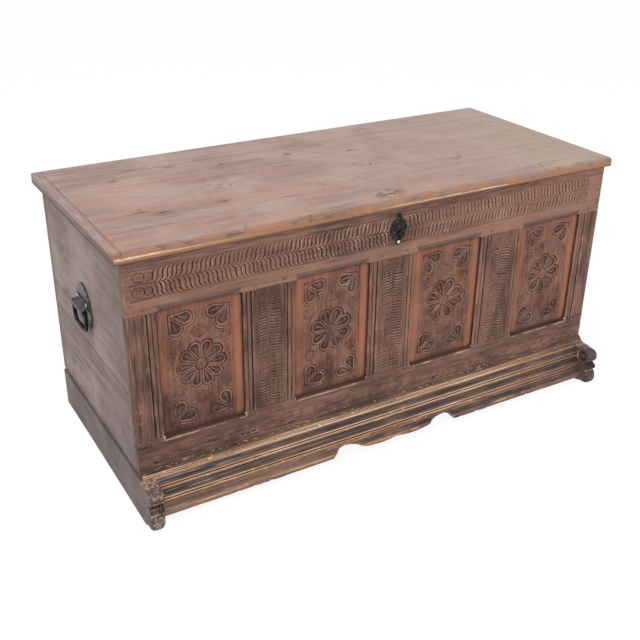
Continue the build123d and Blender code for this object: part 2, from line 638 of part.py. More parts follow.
side_y = (FRAME_BACK, BACK_INSIDE)
side_board_lower = board((-SIDE, -SIDE_INSIDE), side_y, (RUNNER_HEIGHT, SIDE_JOINT))
side_board_upper = board((-SIDE, -SIDE_INSIDE), side_y, (SIDE_JOINT, CASE_TOP))
with BuildPart() as side_board_left_lower:
    add(side_board_lower.part)
    add(back_nails.part, mode=Mode.SUBTRACT)
save(side_board_left_lower, "side_board_left_lower")
save(mirrored(side_board_left_lower), "side_board_right_lower")

with BuildPart() as side_board_left_upper:
    add(side_board_upper.part)
    add([frame_pegs.part, back_nails.part, handle_rivets_left.part], mode=Mode.SUBTRACT)
save(side_board_left_upper, "side_board_left_upper")
save(mirrored(side_board_left_upper), "side_board_right_upper")

back_y = (BACK_INSIDE, BACK)
back_lower_blank = board((-SIDE, SIDE), back_y, (RUNNER_HEIGHT, BACK_JOINT))
back_upper_blank = board((-SIDE, SIDE), back_y, (BACK_JOINT, CASE_TOP))
with BuildPart() as back_board_lower:
    add(back_lower_blank.part)
    add(back_nails.part, mode=Mode.SUBTRACT)
save(back_board_lower, "back_board_lower")

with BuildPart() as back_board_upper:
    add(back_upper_blank.part)
    with BuildSketch(back_plane):
        with Locations((-HINGE_X, CASE_TOP), (HINGE_X, CASE_TOP)):
            slot_width = STRAP_WIDTH + 2 * STRAP_SLOT_PLAY
            slot_depth = HINGE_SHEET + STRAP_SLOT_PLAY
            Rectangle(slot_width, 2 * slot_depth)
    extrude(amount=-BACK_THICKNESS, mode=Mode.SUBTRACT)
    add([back_nails.part, hinge_leaf_nails.part], mode=Mode.SUBTRACT)
save(back_board_upper, "back_board_upper")

floor_z = (RUNNER_HEIGHT, RUNNER_HEIGHT + FLOOR_THICKNESS)
floor_step = (BACK_INSIDE - FRAME_BACK) / FLOOR_BOARDS
for number in range(FLOOR_BOARDS):
    floor_y = (FRAME_BACK + number * floor_step, FRAME_BACK + (number + 1) * floor_step)
    save(board((-SIDE_INSIDE, SIDE_INSIDE), floor_y, floor_z), f"floor_board_{number + 1}")

# ---------------------------------------------------------------- lock
STAPLE_PLATE = (30, 21)
STAPLE_PLATE_Y = FRONT + 44
STAPLE_HALF_WIDTH = 2.5
STAPLE_FOOT = 615
STAPLE_LEGS_Y = ((FRONT + 36, FRONT + 39), (FRONT + 46, FRONT + 49))
BOLT_START = -44
BOLT_TIP = -10
BOLT_SPAN = (621, 631)
BOLT_Y = (FRONT + 40, FRONT + 45)
BOLT_PLAY = 0.35
KEEPER_X = (-37, -17)
KEEPER_WIDTH = 6
KEEPER_Y = (FRONT + FRAME_THICKNESS + LOCK_PLATE_THICKNESS, FRONT + 48)
COVER_HALF_WIDTH = 48
COVER_SPAN = (574, 640)
COVER_DEPTH = 22
COVER_SHEET = 2

staple_nail_points = [(LOCK_X + side * 10, -STAPLE_PLATE_Y) for side in (-1, 1)]
lock_staple_nails = forged_nails(lid_underside.offset(2.5), staple_nail_points, depth=18, shank=2.5, head=6)
save(lock_staple_nails, "lock_staple_nails")

with BuildPart() as escutcheon:
    # an upright oval with a small crown and a nail lobe below
    with BuildSketch(front_plane):
        with BuildLine():
            for side, rise in ((1, 1), (-1, 1), (-1, -1), (1, -1)):
                ThreePointArc(
                    (LOCK_X + 23 * side, 603),
                    (LOCK_X + 16.3 * side, 603 + 21.9 * rise),
                    (LOCK_X, 603 + 31 * rise),
                )
        make_face()
        with Locations((LOCK_X, 638)):
            Circle(6)
        with Locations((LOCK_X, 569)):
            Circle(6.5)
    extrude(amount=ESCUTCHEON_THICKNESS)
    add([keyhole.part, escutcheon_nails.part], mode=Mode.SUBTRACT)
save(escutcheon, "escutcheon")

keepers = [
    board(
        (LOCK_X + x - KEEPER_WIDTH / 2, LOCK_X + x + KEEPER_WIDTH / 2),
        KEEPER_Y,
        (BOLT_SPAN[0] - 4, BOLT_SPAN[1] + 4),
    ).part
    for x in KEEPER_X
]
bolt_way = board(
    (LOCK_X + BOLT_START - 10, LOCK_X + BOLT_TIP + 20),
    (BOLT_Y[0] - BOLT_PLAY, BOLT_Y[1] + BOLT_PLAY),
    (BOLT_SPAN[0] - BOLT_PLAY, BOLT_SPAN[1] + BOLT_PLAY),
)
with BuildPart() as lock_plate:
    with BuildSketch(frame_back_plane):
        with Locations((-LOCK_X, sum(LOCK_PLATE_SPAN) / 2)):
            Rectangle(LOCK_PLATE_WIDTH, LOCK_PLATE_SPAN[1] - LOCK_PLATE_SPAN[0])
        with Locations((-LOCK_X, KEYHOLE_LEVEL)):
            Circle(KEYHOLE_RADIUS, mode=Mode.SUBTRACT)
        with Locations((-LOCK_X, KEYHOLE_LEVEL - KEYHOLE_SLOT_DEPTH / 2)):
            Rectangle(KEYHOLE_SLOT_WIDTH, KEYHOLE_SLOT_DEPTH, mode=Mode.SUBTRACT)
    extrude(amount=LOCK_PLATE_THICKNESS)
    add(keepers)
    add([bolt_way.part, lock_plate_nails.part], mode=Mode.SUBTRACT)
save(lock_plate, "lock_plate")

with BuildPart() as lock_cover:
    # a shallow box over the works, with a slot in its top for the staple
    with BuildSketch(frame_back_plane.offset(LOCK_PLATE_THICKNESS)):
        with Locations((-LOCK_X, sum(COVER_SPAN) / 2)):
            Rectangle(2 * COVER_HALF_WIDTH, COVER_SPAN[1] - COVER_SPAN[0])
    extrude(amount=COVER_DEPTH)
    open_side = lock_cover.faces().sort_by(Axis.Y)[0]
    offset(amount=-COVER_SHEET, openings=open_side)
    with BuildSketch(Plane.XY.offset(COVER_SPAN[1])):
        with Locations((LOCK_X, FRONT + 42.5)):
            Rectangle(12, 17)
    extrude(amount=-COVER_SHEET, mode=Mode.SUBTRACT)
save(lock_cover, "lock_cover")

lock_bolt = board((LOCK_X + BOLT_START, LOCK_X + BOLT_TIP), BOLT_Y, BOLT_SPAN)
save(lock_bolt, "lock_bolt")

with BuildPart() as lock_staple:
    with BuildSketch(lid_underside):
        with Locations((LOCK_X, -STAPLE_PLATE_Y)):
            Rectangle(*STAPLE_PLATE)
    extrude(amount=2.5)
    with BuildSketch(Plane.YZ.offset(LOCK_X - STAPLE_HALF_WIDTH)):
        with BuildLine():
            Polyline(
                (STAPLE_LEGS_Y[0][0], CASE_TOP),
                (STAPLE_LEGS_Y[0][0], STAPLE_FOOT),
                (STAPLE_LEGS_Y[1][1], STAPLE_FOOT),
                (STAPLE_LEGS_Y[1][1], CASE_TOP),
                close=True,
            )
        make_face()
        with BuildLine():
            Polyline(
                (STAPLE_LEGS_Y[0][1], CASE_TOP - 2.5),
                (STAPLE_LEGS_Y[0][1], STAPLE_FOOT + 3),
                (STAPLE_LEGS_Y[1][0], STAPLE_FOOT + 3),
                (STAPLE_LEGS_Y[1][0], CASE_TOP - 2.5),
                close=True,
            )
        make_face(mode=Mode.SUBTRACT)
    extrude(amount=2 * STAPLE_HALF_WIDTH)
    add(lock_staple_nails.part, mode=Mode.SUBTRACT)
save(lock_staple, "lock_staple")

# ---------------------------------------------------------------- lid
lid_front = FRONT - LID_FRONT_OVERHANG
lid_back = BACK + LID_BACK_OVERHANG
lid_side = SIDE + LID_SIDE_OVERHANG
lid_seam = lid_front + LID_BOARD_WIDTH
strip_joint = -lid_side + LID_END_STRIP

with BuildPart() as lid_blank:
    with BuildSketch(Plane.XY.offset(CASE_TOP)) as lid_outline:
        with Locations((0, (lid_front + lid_back) / 2)):
            Rectangle(2 * lid_side, lid_back - lid_front)
        fillet(lid_outline.vertices().group_by(Axis.Y)[0], LID_CORNER_RADIUS)
    extrude(amount=LID_THICKNESS)
    # the worked edge: a convex band that falls from the top to an arris, along the front and the right end
    with BuildLine(Plane.XY.offset(CHEST_HEIGHT)):
        Polyline((-lid_side, lid_front), (lid_side, lid_front), (lid_side, lid_back))
    with BuildSketch(Plane.YZ.offset(-lid_side)):
        with BuildLine():
            arris = (lid_front, CHEST_HEIGHT - LID_EDGE_DROP)
            band_top = (lid_front + LID_EDGE_RUN, CHEST_HEIGHT)
            ThreePointArc(arris, (lid_front + 2.5, CHEST_HEIGHT - 6), band_top)
            Polyline(arris, (lid_front - 1, arris[1]), (lid_front - 1, CHEST_HEIGHT + 1))
            Polyline((lid_front - 1, CHEST_HEIGHT + 1), (band_top[0], CHEST_HEIGHT + 1), band_top)
        make_face()
    sweep(transition=Transition.RIGHT, mode=Mode.SUBTRACT)
    with BuildSketch(Plane.XZ.offset(-lid_back)):
        with BuildLine():
            eased_foot = (-lid_side, CHEST_HEIGHT - LID_END_ARRIS)
            eased_top = (-lid_side + LID_END_ARRIS, CHEST_HEIGHT)
            Polyline(eased_foot, (-lid_side, CHEST_HEIGHT), eased_top, close=True)
        make_face()
    extrude(amount=lid_back - lid_front, mode=Mode.SUBTRACT)
    add([lid_strap_nails.part, lock_staple_nails.part], mode=Mode.SUBTRACT)


def lid_piece(x_span, y_span):
    """The part of the lid that one of its boards makes up."""
    with BuildPart() as piece:
        add(lid_blank.part)
        with BuildSketch(Plane.XY.offset(CASE_TOP)):
            with Locations((sum(x_span) / 2, sum(y_span) / 2)):
                Rectangle(x_span[1] - x_span[0], y_span[1] - y_span[0])
        extrude(amount=LID_THICKNESS, mode=Mode.INTERSECT)
    return piece


save(lid_piece((strip_joint, lid_side), (lid_front, lid_seam)), "lid_front_board")
save(lid_piece((strip_joint, lid_side), (lid_seam, lid_back)), "lid_back_board")
save(lid_piece((-lid_side, strip_joint), (lid_front, lid_back)), "lid_end_moulding_left")
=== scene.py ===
"""Looks of the panelled cassone: carved and worn wood, forged iron, light and camera.

Millimetres in the modelling code, metres in Blender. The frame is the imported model.
"""
import math

import bpy
import numpy as np
from mathutils import Matrix, Vector
from mathutils.geometry import delaunay_2d_cdt


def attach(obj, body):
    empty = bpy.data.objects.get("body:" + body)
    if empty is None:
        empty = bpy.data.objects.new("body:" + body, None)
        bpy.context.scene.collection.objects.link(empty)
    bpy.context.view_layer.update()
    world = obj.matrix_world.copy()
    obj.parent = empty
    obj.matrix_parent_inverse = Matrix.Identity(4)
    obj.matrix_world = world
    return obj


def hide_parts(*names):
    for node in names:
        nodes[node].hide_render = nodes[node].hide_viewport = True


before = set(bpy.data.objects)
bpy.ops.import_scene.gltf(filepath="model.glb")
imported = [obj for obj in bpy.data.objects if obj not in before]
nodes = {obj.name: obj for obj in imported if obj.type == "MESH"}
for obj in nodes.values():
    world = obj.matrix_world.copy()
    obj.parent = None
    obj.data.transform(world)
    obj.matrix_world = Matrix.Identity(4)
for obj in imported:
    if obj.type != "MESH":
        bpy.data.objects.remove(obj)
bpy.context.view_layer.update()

MM = 0.001

# ---------------------------------------------------------------- sizes, as in the frame
SIDE = 700.0
FRONT = -264.0
BACK = 336.0
FRAME_BACK = -234.0
BACK_INSIDE = 316.0
CASE_TOP = 658.0
CHEST_TOP = 684.0
RUNNER_TOP = 111.0
RUNNER_THICKNESS = 36.0
RUNNER_PROUD = 4.5
RUNNER_SPLAY = math.radians(0.75)
SPREAD_FROM = 100.0
SPREAD_SLOPE = 0.014
FLARE_SLOPE = 0.006  # added to the spread, from 0 at the flare's top
FLARE_TOP = 90.0
PLINTH_REACH = 676.0
RAIL_LOW = 203.0
RAIL_HIGH = 528.0
FRAME_THICKNESS = 30.0
STILE_WIDTH = 69.0
MUNTIN_WIDTH = 139.0
BAY = 350.25
PANEL_WIDTH = 211.25
PANEL_CENTRES = (-1.5 * BAY, -0.5 * BAY, 0.5 * BAY, 1.5 * BAY)
MUNTIN_CENTRES = (-BAY, 0.0, BAY)
PANEL_SETBACK = 9.0
PANEL_THICKNESS = 14.0
PANEL_TONGUE = 8.0
SIDE_THICKNESS = 24.0
SIDE_JOINT = 321.0
LOCK_X = 9.0
KEYHOLE_LEVEL = 596.0
KEYHOLE_DEPTH = 18.0
ESCUTCHEON_LEVEL = 603.0
ESCUTCHEON_HALF = (23.0, 31.0)
ESCUTCHEON_KNOBS = ((638.0, 6.5), (569.0, 7.0))  # level and radius
HANDLE_Y = 48.0
HANDLE_LEVEL = 426.0
HANDLE_PLATE_HALF = (55.6, 63.6)
HANDLE_PLATE_THICKNESS = 3.5
LID_SIDE = 720.0
LID_FRONT = -270.0
LID_BACK = 346.0
LID_SEAM = 239.0
LID_STRIP = -698.0
LID_THICKNESS = 26.0

# a view is (u, v, outward normal) of the face that a piece shows
FRONT_VIEW = ((1, 0, 0), (0, 0, 1), (0, -1, 0))
LEFT_VIEW = ((0, -1, 0), (0, 0, 1), (-1, 0, 0))
RIGHT_VIEW = ((0, 1, 0), (0, 0, 1), (1, 0, 0))
TOP_VIEW = ((1, 0, 0), (0, 1, 0), (0, 0, 1))


# ---------------------------------------------------------------- numbers for shaping
def unit(x):
    """x held between 0 and 1."""
    return np.clip(x, 0, 1)


def ease(low, high, x):
    """A smooth step from 0 at low to 1 at high; low may be the larger."""
    t = unit((x - low) / (high - low))
    return t * t * (3 - 2 * t)


def dent(x, width):
    """A rounded groove of unit depth round x = 0."""
    return np.exp(-((x / width) ** 2))


def value_noise(u, v, seed):
    """Smooth seeded noise between -1 and 1, about one feature to a unit."""
    table = np.random.default_rng(seed).random((128, 128)) * 2 - 1
    iu, iv = np.floor(u).astype(int), np.floor(v).astype(int)
    fu, fv = u - iu, v - iv
    fu, fv = fu * fu * (3 - 2 * fu), fv * fv * (3 - 2 * fv)
    iu, iv, ju, jv = iu % 128, iv % 128, (iu + 1) % 128, (iv + 1) % 128
    low = table[iu, iv] * (1 - fu) + table[ju, iv] * fu
    high = table[iu, jv] * (1 - fu) + table[ju, jv] * fu
    return low * (1 - fv) + high * fv


def fractal(u, v, seed, octaves=3):
    """Noise with finer octaves on it, still about -1 to 1."""
    total = 0
    for octave in range(octaves):
        total = total + value_noise(u * 2**octave, v * 2**octave, seed + octave) / 2**octave
    return total / 1.6


def noise_over(u, v, seed=0):
    """The fractal noise over a face, from its feature sizes and a number added to the seed."""
    return lambda size_u, size_v, number: fractal(u / size_u, v / size_v, seed + number)


def samples(low, high, step, rim=0.0, fine=1.2):
    """Places along a length, closer together within rim of both ends."""
    if rim:
        ends = np.arange(0, rim, fine)
        inner = np.linspace(low + rim, high - rim, max(2, int((high - low - 2 * rim) / step) + 1))
        return np.concatenate([low + ends, inner, high - ends[::-1]])
    return np.linspace(low, high, max(2, int((high - low) / step) + 1))


def slope(field):
    """How steep a field is, per cell."""
    return np.abs(np.gradient(field, axis=0)) + np.abs(np.gradient(field, axis=1))


def soften(field, reach):
    """The field averaged over a square of 2 * reach + 1 cells."""
    for axis in (0, 1):
        margins = [(0, 0), (0, 0)]
        margins[axis] = (reach + 1, reach)
        sums = np.cumsum(np.pad(field, margins, mode="edge"), axis=axis)
        span = sums.shape[axis] - 2 * reach - 1
        upper = np.take(sums, np.arange(span) + 2 * reach + 1, axis)
        field = (upper - np.take(sums, np.arange(span), axis)) / (2 * reach + 1)
    return field


# ---------------------------------------------------------------- meshes
def make_object(name, points, smooth_faces, flat_faces, shares):
    """An object from points in millimetres, arrays of smooth faces, flat faces and numbers per point."""
    sizes = np.concatenate([np.full(len(group), group.shape[1]) for group in smooth_faces])
    smooth = np.arange(len(sizes) + len(flat_faces)) < len(sizes)
    sizes = np.concatenate([sizes, [len(face) for face in flat_faces]]).astype(int)
    loops = np.concatenate([group.ravel() for group in smooth_faces] + [np.asarray(face) for face in flat_faces])
    mesh = bpy.data.meshes.new(name)
    mesh.vertices.add(len(points))
    mesh.vertices.foreach_set("co", (points * MM).astype(np.float32).ravel())
    mesh.loops.add(len(loops))
    mesh.loops.foreach_set("vertex_index", loops.astype(np.int32))
    mesh.polygons.add(len(sizes))
    mesh.polygons.foreach_set("loop_start", np.concatenate([[0], np.cumsum(sizes)[:-1]]).astype(np.int32))
    mesh.polygons.foreach_set("use_smooth", smooth)
    mesh.update(calc_edges=True)
    mesh.validate()
    for share, values in shares.items():
        layer = mesh.attributes.new(share, "FLOAT", "POINT")
        layer.data.foreach_set("value", values.astype(np.float32))
    piece = bpy.data.objects.new(name, mesh)
    bpy.context.collection.objects.link(piece)
    return piece


def in_view(view, u, v, n):
    """Points of the row frame from places along a view's axes."""
    across, up, out = (np.array(axis, float) for axis in view)
    u, v, n = np.broadcast_arrays(u, v, n)
    return u[..., None] * across + v[..., None] * up + n[..., None] * out


def grid_faces(rows, columns, first=0):
    """Quads of a grid whose points run along columns first."""
    corner = first + np.arange(rows - 1)[:, None] * columns + np.arange(columns - 1)[None, :]
    return np.stack([corner, corner + 1, corner + columns + 1, corner + columns], -1).reshape(-1, 4)


def slab(name, view, us, vs, surface, thickness, relief, shares, bend=None, crisp=1.0, underside_shade=0.0):
    """A board with a modelled face: relief (at most 0) over a grid, straight sides and a plain back."""
    rows, columns = len(vs), len(us)
    # darker in hollows: dirt and painted shade; paler on crests: worn wood and painted highlight
    hollow, basin = soften(relief, 3) - relief, soften(relief, 9) - relief
    grime_and_shade = crisp * (0.75 * ease(0.1, 1.0, hollow) + 0.3 * ease(0.3, 2.2, basin))
    paler = crisp * 0.5 * ease(0.1, 0.8, -hollow) * (0.75 + 0.6 * fractal(*np.meshgrid(us / 34, vs / 34), 5))
    shares = dict(shares, cavity=unit(shares["cavity"] + grime_and_shade), wear=shares["wear"] + paler)
    u, v = np.meshgrid(us, vs)
    if bend:
        u, v = bend(u, v)
    face = in_view(view, u, v, surface + relief).reshape(-1, 3)
    corners = ([0, 0, -1, -1], [0, -1, -1, 0])
    back = in_view(view, u[corners], v[corners], np.full(4, surface - thickness))
    index = np.arange(rows * columns).reshape(rows, columns)
    base = rows * columns
    rims = (index[0, ::-1], index[::-1, -1], index[-1, :], index[:, 0])
    sides = [[base + corner, base + (corner + 1) % 4, *rim] for corner, rim in enumerate(rims)]
    sides.append([base + 4, base + 7, base + 6, base + 5])
    padded = {key: np.concatenate([values.ravel(), np.zeros(8)]) for key, values in shares.items()}
    # painted shade down the side walls towards the back face, for pieces that ask for it (the lid)
    padded["cavity"][base : base + 4] = underside_shade
    return make_object(name, np.concatenate([face, back, back]), [grid_faces(rows, columns)], sides, padded)


def fields(us, vs):
    """The grid's u and v, and how far each point is from the board's rim."""
    u, v = np.meshgrid(us, vs)
    rim_u = np.minimum(u - us[0], us[-1] - u)
    rim_v = np.minimum(v - vs[0], vs[-1] - v)
    return u, v, rim_u, rim_v


def worn_rim(u, v, rim_u, rim_v, radius, seed, chips=1.0):
    """How far the worn arrises drop, and where raw wood shows on them."""
    noise = noise_over(u, v, seed)
    wobble = 1 + 0.55 * noise(60, 60, 0) + 0.25 * noise(9, 9, 5)
    drop = 0
    for rim in (rim_u, rim_v):
        reach = np.clip(radius * wobble, 0.3, None)
        inside = np.clip(reach - rim, 0, reach)
        drop = drop + reach - np.sqrt(np.clip(reach**2 - inside**2, 0, None))
    rim = np.minimum(rim_u, rim_v)
    chip = ease(0.42, 0.62, noise(22, 22, 11)) * ease(5.5, 0, rim) * chips
    wear = unit(ease(2.6 * radius, 0, rim) * (0.55 + 0.9 * noise(30, 30, 17)) + chip)
    return drop + 1.6 * chip, wear


def timber(u, v, seed, along_u=True, depth=0.35):
    """Shallow lengthwise undulation, open grain and a few checks in a board's face (0 or below)."""
    a, b = (u, v) if along_u else (v, u)
    waves = 0.5 * fractal(a / 260, b / 70, seed) - 0.5
    grain = -0.3 * ease(0.25, 0.8, fractal(a / 90, b / 2.6, seed + 3, 2))
    line = (b / 31 + 0.22 * value_noise(a / 260, b / 90, seed + 7) + 0.5) % 1 - 0.5
    check = dent(line, 0.018) * ease(0.42, 0.66, value_noise(a / 150, b / 24, seed + 9))
    return depth * (waves + grain) - 0.9 * check, check


# ---------------------------------------------------------------- node graphs
def rgb(red, green, blue):
    """A colour written as 0-255 display values, as linear RGBA."""
    channels = [value / 255 for value in (red, green, blue)]
    linear = [c / 12.92 if c <= 0.04045 else ((c + 0.055) / 1.055) ** 2.4 for c in channels]
    return (*linear, 1.0)


class Graph:
    """A small helper that builds the nodes of a material or a world."""

    def __init__(self, owner):
        self.owner = owner
        owner.use_nodes = True
        self.tree = owner.node_tree
        self.tree.nodes.clear()

    def outputs(self, kind, inputs=None, **settings):
        """A new node's outputs; its inputs are given by name or number, as values or as other outputs."""
        node = self.tree.nodes.new(kind)
        for key, value in settings.items():
            setattr(node, key, value)
        for key, value in (inputs or {}).items():
            if isinstance(value, bpy.types.NodeSocket):
                self.tree.links.new(value, node.inputs[key])
            else:
                node.inputs[key].default_value = value
        return node.outputs

    def add(self, kind, inputs=None, **settings):
        """A new node's first output."""
        return self.outputs(kind, inputs, **settings)[0]

    def place(self, scale):
        """The object's own coordinates, stretched."""
        coordinates = self.outputs("ShaderNodeTexCoord")["Object"]
        return self.add("ShaderNodeMapping", {"Vector": coordinates, "Scale": scale})

    def noise(self, vector, scale, detail=4.0, roughness=0.55, distortion=0.0):
        values = {"Vector": vector, "Scale": scale, "Detail": detail}
        return self.add("ShaderNodeTexNoise", values | {"Roughness": roughness, "Distortion": distortion})

    def step(self, value, low, high, to_low=0.0, to_high=1.0):
        """The value carried smoothly from low..high to to_low..to_high."""
        inputs = {"Value": value, "From Min": low, "From Max": high, "To Min": to_low, "To Max": to_high}
        return self.add("ShaderNodeMapRange", inputs, interpolation_type="SMOOTHSTEP")

    def math(self, operation, *values, clamp=False):
        return self.add("ShaderNodeMath", dict(enumerate(values)), operation=operation, use_clamp=clamp)

    def times(self, *values, clamp=False):
        return self.math("MULTIPLY", *values, clamp=clamp)

    def mix(self, factor, low, high):
        inputs = {0: factor, 6: low, 7: high}
        return self.outputs("ShaderNodeMix", inputs, data_type="RGBA", blend_type="MIX")[2]

    def share(self, name):
        """A number per point of the mesh."""
        return self.outputs("ShaderNodeAttribute", attribute_name=name)["Fac"]

    def finish(self, height, strength, distance, **inputs):
        """The shader's inputs are given by name, with _ for a space."""
        bump = self.add("ShaderNodeBump", {"Height": height, "Strength": strength, "Distance": distance})
        inputs = {key.replace("_", " "): value for key, value in inputs.items()}
        shader = self.add("ShaderNodeBsdfPrincipled", inputs | {"Normal": bump})
        self.outputs("ShaderNodeOutputMaterial", {"Surface": shader})
        return self.owner


# blue-grey colour of the grey-cast share: painted reflection in carved hollows and on chamfers, a grey cast
# elsewhere
BLOOM_AND_SHEEN = rgb(126, 117, 117)
WAX_SPECULAR = 0.2


def wood(name, palette, axis, gloss, streaks=1.0, specks=0.5, wax=WAX_SPECULAR, bloom_and_sheen=BLOOM_AND_SHEEN, speckle=0.0):
    """Old waxed wood. palette: dirt and painted shade, dark, middle, light, worn wood and painted highlight, raw
    wood and painted highlight; axis: the grain's direction.
    """
    grime_and_shade, dark, middle, light, rubbed_and_highlit_wood, bare_and_highlight = (rgb(*colour) for colour in palette)
    g = Graph(bpy.data.materials.new(name))
    plain = g.place((1.0, 1.0, 1.0))
    lengthwise = g.place([1.0 if letter == axis else 22.0 for letter in "xyz"])
    threads = g.place([9.0 if letter == axis else 190.0 for letter in "xyz"])
    figure = g.noise(lengthwise, 3.2, 6.0, 0.62, 0.7)
    blotch = g.noise(plain, 5.5, 4.0, 0.6, 0.4)
    fibres = g.noise(threads, 1.6, 4.0, 0.65)
    grit = g.noise(plain, 420.0, 3.0, 0.7)
    colour = g.mix(g.step(figure, 0.26, 0.7), dark, middle)
    colour = g.mix(g.times(g.step(blotch, 0.38, 0.72), 0.75), colour, light)
    colour = g.mix(g.times(g.step(fibres, 0.5, 0.66), 0.8 * streaks), colour, grime_and_shade)
    colour = g.mix(g.times(g.step(fibres, 0.48, 0.34), 0.5 * streaks), colour, light)
    tone = g.share("tone")
    colour = g.mix(g.times(tone, 1.0, clamp=True), colour, light)
    colour = g.mix(g.times(tone, -1.0, clamp=True), colour, grime_and_shade)
    pits = g.add("ShaderNodeTexVoronoi", {"Vector": plain, "Scale": 130.0, "Randomness": 1.0})
    holes = g.times(g.step(pits, 0.16, 0.1), g.math("GREATER_THAN", g.noise(plain, 60.0, 2.0), 0.58))
    colour = g.mix(g.times(holes, specks), colour, grime_and_shade)
    cavity = g.share("cavity")
    # darker by the cavity share: dirt, dark marks and painted shade in hollows and recesses
    colour = g.mix(g.times(cavity, 0.9, clamp=True), colour, grime_and_shade)
    # grey-cast share: painted reflection where pieces put it in hollows, on chamfers, on the lid's right end and in
    # the plinth's coves
    colour = g.mix(g.times(g.share("bloom_and_sheen"), g.step(fibres, 0.62, 0.4, 0.35, 1.0), clamp=True), colour, bloom_and_sheen)
    # paler by this share: worn wood, and painted highlights on crests and on the lid's front arris
    wear = g.share("wear")
    if speckle:
        wear = g.times(wear, g.step(g.noise(plain, speckle, 4.0, 0.7), 0.42, 0.62, 0.35, 1.25))
    paler = g.math("ADD", wear, g.times(g.math("SUBTRACT", grit, 0.5), 0.9))
    colour = g.mix(g.step(paler, 0.3, 0.9), colour, rubbed_and_highlit_wood)
    colour = g.mix(g.step(paler, 1.1, 1.7), colour, bare_and_highlight)
    roughness = g.math("ADD", g.step(blotch, 0.3, 0.7, gloss + 0.07, gloss - 0.05), g.times(cavity, 0.22))
    height = g.math("ADD", g.times(fibres, -0.6), g.times(grit, 0.35))
    return g.finish(height, 0.5, 0.0014, Base_Color=colour, Roughness=roughness, Specular_IOR_Level=wax)


def iron(name, base, sheen, rust, rust_share, roughness, metallic=0.55, specular=0.5, black_above=0.0, shine=0.0):
    """Forged, blackened iron with rust in places; black above a height in metres, if one is given."""
    g = Graph(bpy.data.materials.new(name))
    plain = g.place((1.0, 1.0, 1.0))
    hammer = g.noise(plain, 95.0, 3.0, 0.5)
    scale = g.noise(plain, 420.0, 4.0, 0.7)
    patches = g.noise(plain, 38.0, 5.0, 0.65, 0.5)
    colour = g.mix(g.step(hammer, 0.35, 0.7), rgb(*base), rgb(*sheen))
    bitten = g.math("ADD", patches, g.times(g.share("cavity"), 0.2))
    colour = g.mix(g.step(bitten, 0.72 - rust_share, 0.82 - rust_share), colour, rgb(*rust))
    # painted highlight on raised parts, where the paler-colour share is set
    if shine:
        colour = g.mix(g.times(g.share("wear"), shine, clamp=True), colour, rgb(128, 120, 112))
    if black_above:
        level = g.outputs("ShaderNodeSeparateXYZ", {"Vector": plain})["Z"]
        colour = g.mix(g.math("GREATER_THAN", level, black_above), colour, rgb(16, 15, 15))
    rough = g.step(scale, 0.3, 0.7, roughness - 0.08, roughness + 0.14)
    height = g.math("ADD", hammer, g.times(scale, 0.3))
    return g.finish(
        height, 0.45, 0.0015, Base_Color=colour, Roughness=rough, Metallic=metallic, Specular_IOR_Level=specular
    )


FRAME_PALETTE = ((48, 32, 29), (102, 73, 65), (140, 103, 90), (170, 125, 104), (194, 156, 136),
                 (226, 198, 170))
PANEL_PALETTE = ((44, 29, 26), (108, 70, 59), (148, 98, 79), (176, 115, 86), (190, 142, 116),
                 (224, 190, 162))
# the lid's last colour is the cream painted highlight along its front arris
LID_PALETTE = ((90, 66, 58), (150, 120, 111), (174, 146, 137), (192, 162, 150), (184, 126, 86),
               (248, 230, 208))
SIDE_PALETTE = ((78, 64, 61), (128, 108, 104), (153, 134, 129), (174, 149, 140), (196, 168, 148),
                (226, 202, 178))
RUNNER_PALETTE = ((54, 42, 39), (88, 75, 71), (106, 92, 88), (130, 112, 106), (182, 150, 128),
                  (234, 210, 182))
PLINTH_PALETTE = ((34, 24, 21), (84, 60, 51), (122, 90, 76), (160, 120, 98), (204, 156, 118),
                  (244, 220, 188))
INNER_PALETTE = ((86, 64, 48), (134, 104, 78), (160, 126, 96), (180, 146, 112), (196, 164, 128),
                 (214, 184, 150))

# the lid's olive colour is painted reflection on its right end
lid_wood = wood("lid_wood", LID_PALETTE, "x", 0.34, 0.45, 0.3, bloom_and_sheen=rgb(178, 166, 126))
lid_strip_wood = wood("lid_strip_wood", LID_PALETTE, "y", 0.4, 0.6, 0.35, bloom_and_sheen=rgb(178, 162, 162))
rail_wood = wood("rail_wood", FRAME_PALETTE, "x", 0.38, 0.9)
post_wood = wood("post_wood", FRAME_PALETTE, "z", 0.38, 0.9)
panel_wood = wood("panel_wood", PANEL_PALETTE, "z", 0.38, 0.6)
side_wood = wood("side_wood", SIDE_PALETTE, "y", 0.5, 0.35)
back_wood = wood("back_wood", SIDE_PALETTE, "x", 0.62, 1.0)
inner_wood = wood("inner_wood", INNER_PALETTE, "x", 0.66, 1.0)
# the plinth's pale grey colour serves painted highlights in its coves and along its arrises
plinth_wood = wood("plinth_wood", PLINTH_PALETTE, "x", 0.33, 0.9, wax=0.35, bloom_and_sheen=rgb(168, 160, 156))
runner_wood = wood("runner_wood", RUNNER_PALETTE, "y", 0.5, 0.4, speckle=150.0)
# black iron's shine puts painted highlights on the escutcheon's raised parts
black_iron = iron("black_iron", (8, 7, 7), (22, 20, 19), (40, 27, 20), 0.04, 0.3, 0.0, 0.2, shine=0.5)
grey_iron = iron("grey_iron", (36, 35, 36), (84, 82, 83), (60, 46, 38), 0.06, 0.34, 0.1, 0.4)
bright_iron = iron("bright_iron", (190, 188, 184), (236, 234, 230), (96, 84, 76), -0.1, 0.22)
nail_iron = iron("nail_iron", (190, 188, 184), (236, 234, 230), (96, 84, 76), -0.1, 0.22, black_above=0.6)
inner_iron = iron("inner_iron", (52, 48, 46), (84, 80, 78), (112, 70, 44), 0.16, 0.55)


